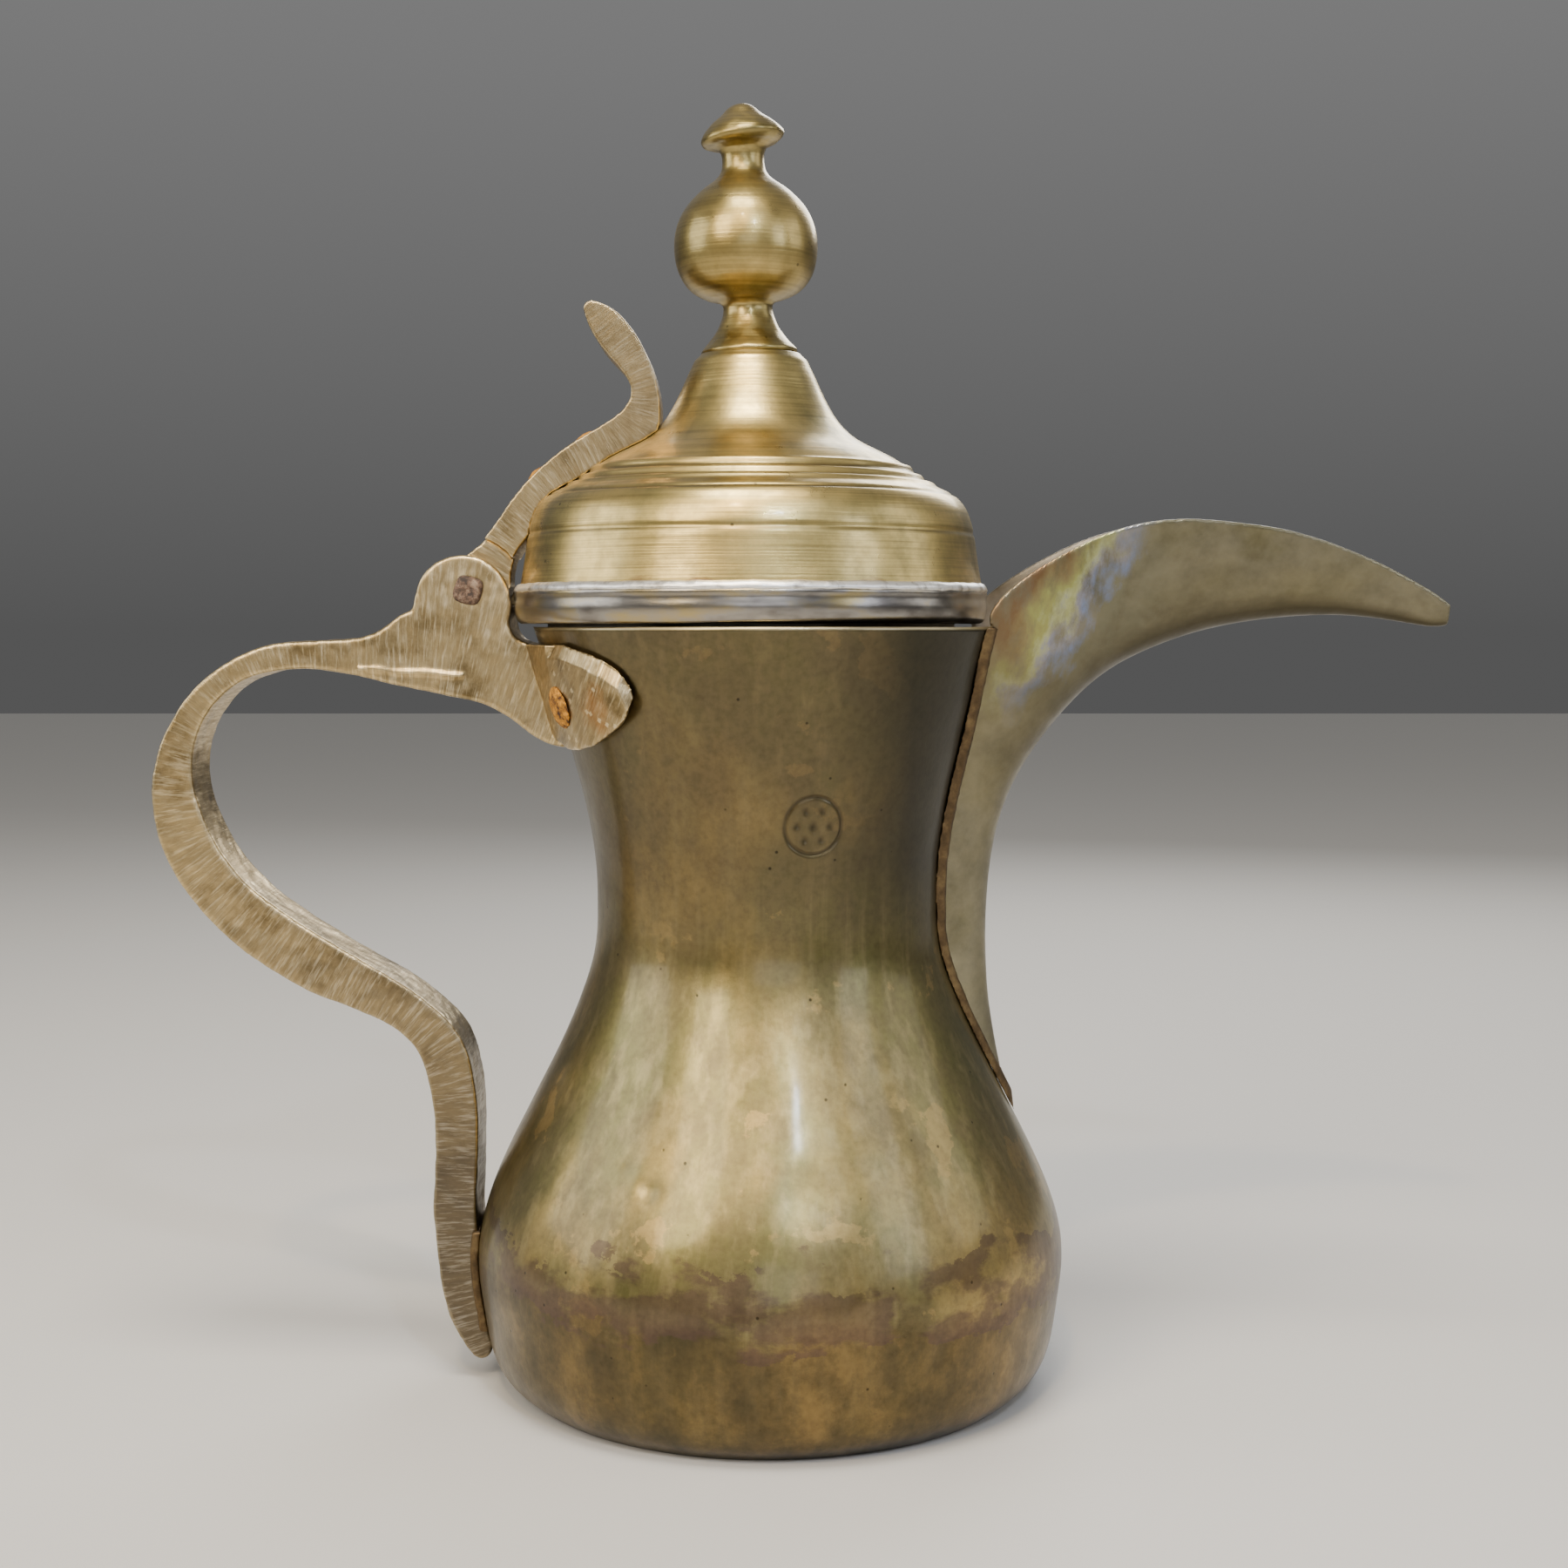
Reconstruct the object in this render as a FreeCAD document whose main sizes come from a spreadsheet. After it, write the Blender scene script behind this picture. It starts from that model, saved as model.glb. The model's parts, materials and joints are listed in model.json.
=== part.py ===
import FreeCAD, Part
import math
import os

import Sketcher

# A brass dallah: a hammered sheet body with an open beak, a cast handle whose
# forked head clasps the neck, and a lid that swings on an iron pin in the fork.
# Origin: centre of the base's underside. +X towards the beak, +Z up.

V = FreeCAD.Vector
doc = FreeCAD.newDocument("dallah")

DIMENSIONS = [
    ("body_height", 178.6),
    ("base_radius", 57.5),
    ("bulb_radius", 69.6),
    ("waist_radius", 40.8),
    ("waist_height", 112.0),
    ("rim_radius", 55.5),
    ("sheet", 1.2),
    ("base_sheet", 1.6),
    ("braze", 2.0),
    ("lid_offset", -4.4),
    ("lid_seat", 179.4),
    ("band_height", 7.4),
    ("band_radius", 55.2),
    ("dome_radius", 54.2),
    ("dome_top_radius", 11.6),
    ("dome_top", 242.2),
    ("collar_radius", 47.8),
    ("collar_depth", 4.4),
    ("finial_lean", -1.8),
    ("finial_top", 299.8),
    ("ball_radius", 16.7),
    ("ball_centre", 267.4),
    ("strap_width", 17.0),
    ("fork_gap", 9.6),
    ("pin_x", -70.0),
    ("pin_z", 187.2),
    ("pin_radius", 2.6),
    ("pin_play", 0.06),
    ("knuckle_radius", 7.4),
    ("knuckle_width", 8.8),
    ("lever_width", 16.0),
    ("shoulder_radius", 12.5),
    ("knuckle_clearance", 0.9),
    ("slot_floor", 3.6),
    ("wing_sheet", 3.2),
    ("wing_rivet_angle", 27.0),
    ("wing_rivet_height", 160.5),
    ("wing_rivet_radius", 5.2),
    ("wing_seat_radius", 49.9),
    ("wing_lean", 15.8),
    ("shank_radius", 2.2),
    ("lever_rivet_radius", 3.4),
    ("lever_shank_radius", 1.7),
    ("spout_sheet", 1.2),
    ("pour_width", 26.0),
    ("pour_low", 122.0),
    ("pour_high", 170.0),
]


def make_sheet():
    sheet = doc.addObject("Spreadsheet::Sheet", "dimensions")
    for row, (name, size) in enumerate(DIMENSIONS, 1):
        sheet.set("A%d" % row, name)
        sheet.set("B%d" % row, str(size))
        sheet.setAlias("B%d" % row, name)
    doc.recompute()
    return sheet


sheet = make_sheet()


def size(name):
    return float(getattr(sheet, name))


# --- small drawing helpers ---------------------------------------------------

def new_body(name):
    body = doc.addObject("PartDesign::Body", name + "_body")
    body.Label = name
    return body


def plane(body, role):
    for feature in body.Origin.OriginFeatures:
        if feature.Role == role:
            return feature
    raise ValueError(role)


def new_sketch(body, name, role="XZ_Plane"):
    sketch = body.newObject("Sketcher::SketchObject", name)
    sketch.AttachmentSupport = [(plane(body, role), "")]
    sketch.MapMode = "FlatFace"
    return sketch


def curve(points):
    spline = Part.BSplineCurve()
    spline.interpolate([V(a, b, 0) for a, b in points])
    return spline


def outline(sketch, *runs):
    """Closed outline: each run is a list of points, two for a line, more for a curve."""
    for run in runs:
        if len(run) == 2:
            sketch.addGeometry(Part.LineSegment(V(*run[0], 0), V(*run[1], 0)), False)
        else:
            sketch.addGeometry(curve(run), False)
    count = len(runs)
    for i in range(count):
        sketch.addConstraint(Sketcher.Constraint("Coincident", i, 2, (i + 1) % count, 1))


def tie(sketch, edge, end, axis, expression):
    """Bind one end point's distance from an axis of the sketch to the sheet."""
    kind = "DistanceX" if axis == "x" else "DistanceY"
    point = sketch.getPoint(edge, end)
    now = point.x if axis == "x" else point.y
    index = sketch.addConstraint(Sketcher.Constraint(kind, -1, 1, edge, end, now))
    sketch.setExpression("Constraints[%d]" % index, expression)


def revolve(body, sketch, name):
    turn = body.newObject("PartDesign::Revolution", name)
    turn.Profile = sketch
    turn.ReferenceAxis = (sketch, ["V_Axis"])
    turn.Angle = 360
    return turn


def pad_both_ways(body, sketch, name, width):
    pad = body.newObject("PartDesign::Pad", name)
    pad.Profile = sketch
    pad.Midplane = True
    pad.setExpression("Length", width)
    return pad


def boolean(kind, name, base, tool):
    """Part::Cut, Part::Fuse or Part::Common of two objects."""
    result = doc.addObject("Part::" + kind, name)
    result.Base = base
    result.Tool = tool
    return result


def rod(name, radius, length, start, direction):
    """A plain round bar from a point along a direction."""
    bar = doc.addObject("Part::Cylinder", name)
    bar.setExpression("Radius", radius)
    bar.Height = length
    bar.Placement = FreeCAD.Placement(start, FreeCAD.Rotation(V(0, 0, 1), direction))
    return bar


def turned(name, runs, ties=()):
    """A body of revolution about +Z from a half outline in the XZ plane."""
    body = new_body(name)
    sketch = new_sketch(body, name + "_outline")
    outline(sketch, *runs)
    for edge, end, axis, expression in ties:
        tie(sketch, edge, end, axis, expression)
    revolve(body, sketch, name + "_turn")
    return body


def shift(points, across, up=0.0):
    return [(a + across, b + up) for a, b in points]


def beside(points, distance):
    """The same curve moved sideways by a distance, to its left as it runs."""
    moved = []
    for i, (a, b) in enumerate(points):
        before = points[max(i - 1, 0)]
        after = points[min(i + 1, len(points) - 1)]
        da, db = after[0] - before[0], after[1] - before[1]
        long = math.hypot(da, db)
        moved.append((a - db / long * distance, b + da / long * distance))
    return moved


# --- body --------------------------------------------------------------------

def bowl_curve():
    top = size("waist_height")
    return [
        (size("base_radius") + 2, 0.0),
        (64.2, 4.2),
        (68.3, 17.5),
        (size("bulb_radius"), 31.0),
        (67.0, 44.0),
        (60.0, 59.7),
        (51.6, 76.5),
        (44.2, 93.5),
        (41.3, 104.0),
        (size("waist_radius"), top),
    ]


def neck_curve():
    return [
        (size("waist_radius"), size("waist_height")),
        (41.3, 123.5),
        (44.0, 139.0),
        (48.3, 155.0),
        (52.4, 169.5),
        (54.1, 175.0),
        (size("rim_radius"), size("body_height")),
    ]


def make_bowl():
    outer = bowl_curve()
    inner = beside(outer, size("sheet"))
    inner[0] = (size("base_radius"), 0.0)
    inner[-1] = (size("waist_radius") - size("sheet"), size("waist_height"))
    runs = [outer, [outer[-1], inner[-1]], inner[::-1], [inner[0], outer[0]]]
    ties = [
        (0, 2, "x", "dimensions.waist_radius"),
        (0, 2, "y", "dimensions.waist_height"),
        (3, 1, "x", "dimensions.base_radius"),
    ]
    return turned("bowl", runs, ties)


def make_neck_shell():
    outer = neck_curve()
    inner = beside(outer, size("sheet"))
    inner[0] = (size("waist_radius") - size("sheet"), size("waist_height"))
    inner[-1] = (size("rim_radius") - size("sheet"), size("body_height"))
    runs = [outer, [outer[-1], inner[-1]], inner[::-1], [inner[0], outer[0]]]
    ties = [
        (0, 1, "x", "dimensions.waist_radius"),
        (0, 1, "y", "dimensions.waist_height"),
        (0, 2, "x", "dimensions.rim_radius"),
        (0, 2, "y", "dimensions.body_height"),
    ]
    return turned("neck_shell", runs, ties)


def make_body_envelope(name, growth, ceiling):
    """The body's full outer form, filled up to a ceiling, to fit what is brazed on to it."""
    low, high = beside(bowl_curve(), -growth), beside(neck_curve(), -growth)
    low[0] = (low[0][0], 0.0)
    high[0] = low[-1]
    high[-1] = (high[-1][0], size("body_height"))
    runs = [low, high]
    if ceiling > size("body_height"):
        runs.append([high[-1], (high[-1][0], ceiling)])
    corner = runs[-1][-1]
    runs += [[corner, (0, ceiling)], [(0, ceiling), (0, 0)], [(0, 0), low[0]]]
    return turned(name, runs)


def make_base_disc():
    body = new_body("base_disc")
    sketch = new_sketch(body, "base_circle", "XY_Plane")
    sketch.addGeometry(Part.Circle(V(0, 0, 0), V(0, 0, 1), size("base_radius")), False)
    sketch.addConstraint(Sketcher.Constraint("Coincident", 0, 3, -1, 1))
    index = sketch.addConstraint(Sketcher.Constraint("Radius", 0, size("base_radius")))
    sketch.setExpression("Constraints[%d]" % index, "dimensions.base_radius")
    pad = body.newObject("PartDesign::Pad", "base_pad")
    pad.Profile = sketch
    pad.setExpression("Length", "dimensions.base_sheet")
    return body


def make_base_braze():
    top = size("base_sheet")
    edge = size("base_radius")
    leg = size("braze")
    runs = [[(edge - leg, top), (edge + 1.2, top)],
            [(edge + 1.2, top), (edge + 3.0, top + leg)],
            [(edge + 3.0, top + leg), (edge + 0.2, top + 0.5), (edge - leg, top)]]
    ring = turned("base_braze_ring", runs)
    return boolean("Cut", "base_braze", ring, bowl)


def make_waist_braze():
    level = size("waist_height")
    wall = size("waist_radius") - size("sheet")
    leg = size("braze")
    runs = [[(wall + 0.6, level - leg), (wall + 0.6, level + leg)],
            [(wall + 0.6, level + leg), (wall - 0.9, level), (wall + 0.6, level - leg)]]
    ring = turned("waist_braze_ring", runs)
    return boolean("Cut", "waist_braze", boolean("Cut", "waist_braze_low", ring, bowl), neck_shell)


def make_neck():
    """The neck with its pour window and the holes of the two handle rivets."""
    window = new_body("pour_window")
    sketch = new_sketch(window, "pour_outline", "YZ_Plane")
    half = size("pour_width") / 2
    low, high = size("pour_low"), size("pour_high")
    shoulder = low + half
    outline(sketch,
            [(-half, high), (-half, shoulder)],
            [(-half, shoulder), (-half * 0.72, low + half * 0.3), (0, low),
             (half * 0.72, low + half * 0.3), (half, shoulder)],
            [(half, shoulder), (half, high)],
            [(half, high), (-half, high)])
    tie(sketch, 3, 1, "y", "dimensions.pour_high")
    pad = window.newObject("PartDesign::Pad", "pour_pad")
    pad.Profile = sketch
    pad.setExpression("Length", "dimensions.rim_radius + 20")
    open_neck = boolean("Cut", "neck_window", neck_shell, window)
    return boolean("Cut", "neck", open_neck, wing_holes)


# --- beak --------------------------------------------------------------------

# Stations of the beak from its lower end to its tip:
# keel point (x, z), edge point (x, z), half width between the edges.
BEAK = [
    ((57.0, 62.0), (52.0, 63.0), 2.5),
    ((54.6, 76.0), (44.5, 78.0), 7.0),
    ((52.0, 92.0), (38.0, 96.0), 10.5),
    ((51.3, 108.0), (36.0, 114.0), 13.0),
    ((52.2, 122.0), (36.5, 131.0), 15.5),
    ((55.2, 136.0), (40.0, 149.0), 18.0),
    ((62.2, 149.7), (46.0, 168.0), 22.0),
    ((71.5, 161.4), (50.5, 183.0), 26.0),
    ((81.5, 169.5), (64.0, 193.8), 22.0),
    ((93.5, 175.2), (80.0, 201.0), 17.8),
    ((108.0, 179.2), (99.0, 203.2), 14.6),
    ((124.0, 181.2), (118.0, 201.2), 11.4),
    ((140.0, 181.0), (136.9, 195.7), 7.6),
    ((152.0, 179.2), (151.0, 189.2), 4.8),
    ((160.0, 178.2), (159.8, 184.6), 3.0),
]
BEAK_STEPS = (-1.0, -0.86, -0.62, -0.32, 0.0, 0.32, 0.62, 0.86, 1.0)
BEAK_ROUNDNESS = 2.2


def beak_form(inset, overshoot):
    """Loft of filled U sections.

    An inset makes the inner form, which runs past the mouth. A negative inset grows the
    form, at its lower end too.
    """
    wires = []
    stations = list(BEAK)
    if inset < 0:
        keel, edge, half = BEAK[0]
        stations[0] = ((keel[0], keel[1] + inset), (edge[0], edge[1] + inset), half)
    for keel, edge, half in stations:
        base = V(keel[0], 0, keel[1])
        rise = V(edge[0] - keel[0], 0, edge[1] - keel[1])
        depth = rise.Length
        up = rise / depth
        height = depth * (1 + overshoot)
        reach = half * (1 + overshoot * 0.3) - inset
        points = []
        for step in BEAK_STEPS:
            lift = inset + (height - inset) * abs(step) ** BEAK_ROUNDNESS
            points.append(base + up * lift + V(0, reach * step, 0))
        bend = Part.BSplineCurve()
        bend.interpolate(points)
        wires.append(Part.Wire([bend.toShape(), Part.makeLine(points[-1], points[0])]))
    return Part.makeLoft(wires, True, False)


def beak_feature(name, inset, overshoot):
    feature = doc.addObject("Part::Feature", name)
    feature.Shape = beak_form(inset, overshoot)
    return feature


def make_spout():
    """Open trough of folded sheet, its root fitted to the body."""
    outer = beak_feature("beak_outer", 0.0, 0.0)
    inner = beak_feature("beak_inner", size("spout_sheet"), 0.25)
    trough = boolean("Cut", "beak_trough", outer, inner)
    return outer, boolean("Cut", "spout", trough, envelope)


def make_spout_solder():
    """Band of solder in the corner between the beak's wall and the body."""
    grown = beak_feature("beak_grown", -0.9 * size("braze"), 0.0)
    corner = boolean("Common", "solder_corner", grown, thick_envelope)
    outside = boolean("Cut", "solder_outside", corner, beak_outer)
    return boolean("Cut", "spout_solder", outside, envelope)


# --- handle ------------------------------------------------------------------

STRAP_OUTER = [
    (-83.0, 182.6), (-86.6, 181.0), (-90.6, 177.9), (-97.8, 175.9), (-108.5, 175.4),
    (-118.6, 174.0), (-129.3, 168.5), (-138.1, 159.4), (-143.0, 149.0), (-144.5, 138.0),
    (-141.9, 125.8), (-134.6, 113.5), (-121.5, 101.1), (-105.3, 91.9), (-91.0, 85.8),
    (-83.6, 79.6), (-80.3, 70.0), (-79.1, 56.0), (-79.7, 40.0), (-78.9, 29.0),
    (-77.6, 20.0), (-73.9, 10.4), (-70.6, 5.4),
]
STRAP_INNER = [
    (-66.4, 6.4), (-65.4, 14.0), (-67.8, 27.0), (-69.6, 39.0), (-69.1, 55.0), (-69.6, 70.0),
    (-73.5, 83.0), (-81.5, 91.4), (-99.4, 102.4), (-112.0, 110.3), (-123.5, 119.6),
    (-131.4, 131.5), (-134.9, 143.5), (-133.0, 155.0), (-126.0, 164.2), (-115.0, 168.5),
    (-101.9, 168.3), (-89.8, 165.8), (-77.7, 163.2), (-67.6, 161.0), (-60.3, 157.2),
    (-54.0, 152.6), (-47.0, 150.6),
]
EAR = [
    (-60.5, 180.0), (-60.2, 184.1), (-61.9, 189.9), (-66.3, 194.1), (-71.4, 195.3),
    (-76.9, 193.9), (-81.1, 189.7), (-82.5, 185.5), (-83.0, 182.6),
]
WING_TOP = [(-47.0, 174.6), (-40.6, 172.6), (-33.2, 168.4), (-30.5, 163.4)]
WING_LOW = [(-30.5, 163.4), (-31.2, 158.8), (-36.0, 154.2), (-41.5, 151.3), (-46.0, 150.8)]


def make_strap():
    """Strap and both ears in one outline, with the slot for the lid's knuckle."""
    body = new_body("handle_strap")
    sketch = new_sketch(body, "handle_outline")
    outline(sketch,
            STRAP_OUTER,
            [STRAP_OUTER[-1], (-68.3, 4.9), STRAP_INNER[0]],
            STRAP_INNER,
            [STRAP_INNER[-1], (-44.0, 173.5)],
            [(-44.0, 173.5), (-53.5, 174.6), (-58.6, 176.0), EAR[0]],
            EAR)
    pad_both_ways(body, sketch, "handle_pad", "dimensions.strap_width")
    slot = new_sketch(body, "slot_outline")
    centre_x, centre_z = size("pin_x"), size("pin_z")
    room = size("knuckle_radius") + size("knuckle_clearance")
    floor = centre_z - size("slot_floor")
    reach = math.sqrt(room ** 2 - size("slot_floor") ** 2)
    left, right, above = centre_x - 20, centre_x + 14, centre_z + 14
    bottom = Part.Arc(V(centre_x - reach, floor, 0), V(centre_x, centre_z - room, 0),
                      V(centre_x + reach, floor, 0))
    slot.addGeometry(bottom, False)
    corners = [(centre_x + reach, floor), (right, floor), (right, above), (left, above),
               (left, floor), (centre_x - reach, floor)]
    for start, end in zip(corners, corners[1:]):
        slot.addGeometry(Part.LineSegment(V(*start, 0), V(*end, 0)), False)
    pocket = body.newObject("PartDesign::Pocket", "slot_pocket")
    pocket.Profile = slot
    pocket.Midplane = True
    pocket.setExpression("Length", "dimensions.fork_gap")
    return body


def make_wing_band():
    """Ring of casting that follows the neck, before its outline is cut."""
    inner = [(46.0, 147.0), (48.3, 155.0), (52.4, 169.5), (55.0, 178.0)]
    outer = shift(inner, size("wing_sheet"))
    inner = shift(inner, -3.0)
    ring = turned("wing_ring", [outer, [outer[-1], inner[-1]], inner[::-1], [inner[0], outer[0]]])
    blank = new_body("wing_blank")
    sketch = new_sketch(blank, "wing_outline")
    outline(sketch,
            [(-64.0, 174.6), WING_TOP[0]],
            WING_TOP,
            WING_LOW,
            [WING_LOW[-1], (-64.0, 160.0)],
            [(-64.0, 160.0), (-64.0, 174.6)])
    pad_both_ways(blank, sketch, "wing_pad", "2 * dimensions.rim_radius")
    return boolean("Common", "wings", ring, blank)


def make_handle():
    """One casting: strap, forked ears and the wings that clasp the neck."""
    joined = boolean("Fuse", "handle_joined", strap, wings)
    fitted = boolean("Cut", "handle_fitted", joined, envelope)
    drilled = boolean("Cut", "handle_drilled", fitted, wing_holes)
    length = size("strap_width") + 10
    hole = rod("ear_hole", "dimensions.pin_radius", length,
               V(size("pin_x"), -length / 2, size("pin_z")), V(0, 1, 0))
    return boolean("Cut", "handle", drilled, hole)


def make_foot_solder():
    """Solder in the corners where the strap's foot lies on the bowl."""
    grown = new_body("foot_grown")
    sketch = new_sketch(grown, "foot_outline")
    outline(sketch,
            [(-76.0, 12.0), (-60.0, 12.0)],
            [(-60.0, 12.0), (-60.0, 36.0)],
            [(-60.0, 36.0), (-76.0, 36.0)],
            [(-76.0, 36.0), (-76.0, 12.0)])
    pad_both_ways(grown, sketch, "foot_pad", "dimensions.strap_width + 2 * dimensions.braze")
    corner = boolean("Common", "foot_corner", grown, thick_envelope)
    beside_foot = boolean("Cut", "foot_beside", corner, handle)
    return boolean("Cut", "foot_solder", beside_foot, envelope)


# --- rivets and pin ----------------------------------------------------------

def rivet(name, point, direction, head_radius, head_rise, shank, grip):
    """Headed rivet: the head stands on the point, the shank runs back through the grip."""
    tail = head_radius * 0.8
    runs = [[(0, head_rise), (head_radius * 0.6, head_rise * 0.8), (head_radius, 0)],
            [(head_radius, 0), (shank, 0)],
            [(shank, 0), (shank, -grip)],
            [(shank, -grip), (tail, -grip)],
            [(tail, -grip), (tail * 0.6, -grip - 0.7), (0, -grip - 0.9)],
            [(0, -grip - 0.9), (0, head_rise)]]
    body = turned(name, runs)
    body.Placement = FreeCAD.Placement(point, FreeCAD.Rotation(V(0, 0, 1), direction))
    return body


def wing_place(side):
    """Point on the wing's face and outward direction of a handle rivet, side -1 near, +1 far."""
    turn = math.radians(size("wing_rivet_angle"))
    level = size("wing_rivet_height")
    lean = math.radians(size("wing_lean"))
    radius = size("wing_seat_radius") + size("wing_sheet")
    point = V(-radius * math.cos(turn), side * radius * math.sin(turn), level)
    outward = V(-math.cos(turn) * math.cos(lean), side * math.sin(turn) * math.cos(lean),
                -math.sin(lean))
    return point, outward


def make_wing_holes():
    bars = []
    for name, side in (("near", -1), ("far", 1)):
        point, outward = wing_place(side)
        bars.append(rod("wing_hole_" + name, "dimensions.shank_radius", 16.0,
                        point - outward * 10, outward))
    return boolean("Fuse", "wing_holes", bars[0], bars[1])


def make_handle_rivets():
    for name, side in (("near", -1), ("far", 1)):
        point, outward = wing_place(side)
        grip = size("wing_sheet") + size("sheet") + 0.1
        rivet("handle_rivet_" + name, point, outward, size("wing_rivet_radius"), 1.3,
              size("shank_radius"), grip)


def make_hinge_pin():
    """Iron pin peened over both ears."""
    half = size("strap_width") / 2
    radius = size("pin_radius")
    runs = [[(0, half + 0.9), (radius + 0.4, half + 0.7), (radius + 0.8, half)],
            [(radius + 0.8, half), (radius, half)],
            [(radius, half), (radius, -half)],
            [(radius, -half), (radius + 0.8, -half)],
            [(radius + 0.8, -half), (radius + 0.4, -half - 0.7), (0, -half - 0.9)],
            [(0, -half - 0.9), (0, half + 0.9)]]
    body = turned("hinge_pin", runs, [(2, 1, "x", "dimensions.pin_radius")])
    body.Placement = FreeCAD.Placement(V(size("pin_x"), 0, size("pin_z")),
                                       FreeCAD.Rotation(V(0, 0, 1), V(0, 1, 0)))
    return body


# --- lid ---------------------------------------------------------------------

def lid_place(body):
    body.Placement = FreeCAD.Placement(V(size("lid_offset"), 0, 0), FreeCAD.Rotation())
    return body


def dome_curve():
    return [
        (size("dome_radius"), size("lid_seat") + 1.0), (54.2, 187.2), (53.0, 195.0), (51.4, 203.0),
        (47.6, 209.0), (42.0, 212.2), (35.4, 216.6), (29.0, 220.2), (22.6, 224.2),
        (18.6, 229.4), (16.0, 234.6), (13.9, 239.0), (12.4, 241.2),
        (size("dome_top_radius"), size("dome_top")),
    ]


def make_dome():
    """Spun dome, open below, with a hole at its top for the finial's tang."""
    outer = dome_curve()
    inner = beside(outer, size("sheet"))
    inner[0] = (outer[0][0] - size("sheet"), outer[0][1])
    top, under = outer[-1][1], outer[-1][1] - size("sheet")
    inner = inner[:-1] + [(9.6, under)]
    hole = 2.6
    runs = [outer, [outer[-1], (hole, top)], [(hole, top), (hole, under)],
            [(hole, under), inner[-1]], inner[::-1], [inner[0], outer[0]]]
    ties = [(0, 1, "x", "dimensions.dome_radius"), (0, 2, "x", "dimensions.dome_top_radius"),
            (0, 2, "y", "dimensions.dome_top")]
    shell = lid_place(turned("dome_shell", runs, ties))
    return boolean("Cut", "lid_dome", shell, lever_holes)


def make_dome_envelope():
    outer = dome_curve()
    low = 178.0
    runs = [[(0, low), (outer[0][0], low)], [(outer[0][0], low), outer[0]], outer,
            [outer[-1], (0, outer[-1][1])], [(0, outer[-1][1]), (0, low)]]
    return lid_place(turned("dome_envelope", runs))


def make_band():
    """Strip round the dome's foot, its lower edge turned in."""
    outer, seat = size("band_radius"), size("lid_seat")
    wall, top = size("dome_radius"), size("lid_seat") + size("band_height")
    runs = [[(outer, top), (wall, top)],
            [(wall, top), (wall, seat + 1)],
            [(wall, seat + 1), (wall - 1.4, seat + 1)],
            [(wall - 1.4, seat + 1), (wall - 1.4, seat)],
            [(wall - 1.4, seat), (outer - 0.9, seat + 0.5), (outer + 0.1, seat + 3), (outer, top)]]
    ring = lid_place(turned("band_ring", runs, [(0, 1, "x", "dimensions.band_radius")]))
    return boolean("Cut", "lid_band", ring, dome_envelope)


def make_lid_solder():
    """Run of white solder on the band's upper edge, against the dome."""
    top, wall = size("lid_seat") + size("band_height"), size("dome_radius") - 0.1
    runs = [[(wall, top), (wall + 1.0, top)],
            [(wall + 1.0, top), (wall + 0.7, top + 0.6), (wall - 0.1, top + 0.8)],
            [(wall - 0.1, top + 0.8), (wall, top)]]
    ring = lid_place(turned("lid_solder_ring", runs))
    clear = boolean("Cut", "lid_solder_clear", ring, dome_envelope)
    return boolean("Cut", "lid_solder", clear, thumb_lever)


def make_collar():
    """Turned-in flange and the short tube that drops into the neck."""
    outer, seat = size("collar_radius"), size("lid_seat")
    inner, foot = outer - 1.0, seat - size("collar_depth")
    flange = size("dome_radius") - 1.4
    runs = [[(outer, foot), (outer, seat)],
            [(outer, seat), (flange, seat)],
            [(flange, seat), (flange, seat + 1)],
            [(flange, seat + 1), (inner, seat + 1)],
            [(inner, seat + 1), (inner, foot)],
            [(inner, foot), (outer, foot)]]
    return lid_place(turned("lid_collar", runs, [(0, 1, "x", "dimensions.collar_radius")]))


def make_finial():
    """Turned knob: flared foot, ball and cap, with a tang riveted under the dome."""
    top, low = size("finial_top"), size("dome_top")
    ball, middle = size("ball_radius"), size("ball_centre")
    under = low - 2 * size("sheet") - 0.1
    tang = 2.1
    runs = [[(0, under - 1.6), (3.2, under - 1.2), (3.4, under)],
            [(3.4, under), (tang, under)],
            [(tang, under), (tang, low)],
            [(tang, low), (11.2, low)],
            [(11.2, low), (11.2, low + 0.9)],
            [(11.2, low + 0.9), (8.2, low + 4.2), (6.6, low + 7.2), (5.8, low + 9.6), (6.0, low + 12.0)],
            [(6.0, low + 12.0), (10.6, middle - 11.8), (14.6, middle - 8.4), (ball, middle),
             (15.0, middle + 6.8), (9.4, middle + 13.0), (5.4, middle + 16.0)],
            [(5.4, middle + 16.0), (4.9, middle + 18.6), (5.2, middle + 22.2)],
            [(5.2, middle + 22.2), (9.6, middle + 23.8)],
            [(9.6, middle + 23.8), (9.0, middle + 25.6), (6.5, middle + 27.9), (3.4, top - 2.0), (0, top)],
            [(0, top), (0, under - 1.6)]]
    knob = turned("finial_turned", runs)
    lean = FreeCAD.Rotation(V(0, 1, 0), size("finial_lean"))
    foot = V(size("lid_offset") - 0.4, 0, 0)
    level = V(0, 0, low)
    knob.Placement = FreeCAD.Placement(foot + level - lean.multVec(level), lean)
    return boolean("Cut", "finial", knob, dome_envelope)


def make_rove():
    """Washer that the finial's tang is riveted over."""
    top = size("dome_top") - size("sheet")
    runs = [[(2.7, top - size("sheet")), (5.6, top - size("sheet"))],
            [(5.6, top - size("sheet")), (5.6, top)],
            [(5.6, top), (2.7, top)],
            [(2.7, top), (2.7, top - size("sheet"))]]
    return lid_place(turned("finial_rove", runs))


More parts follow.
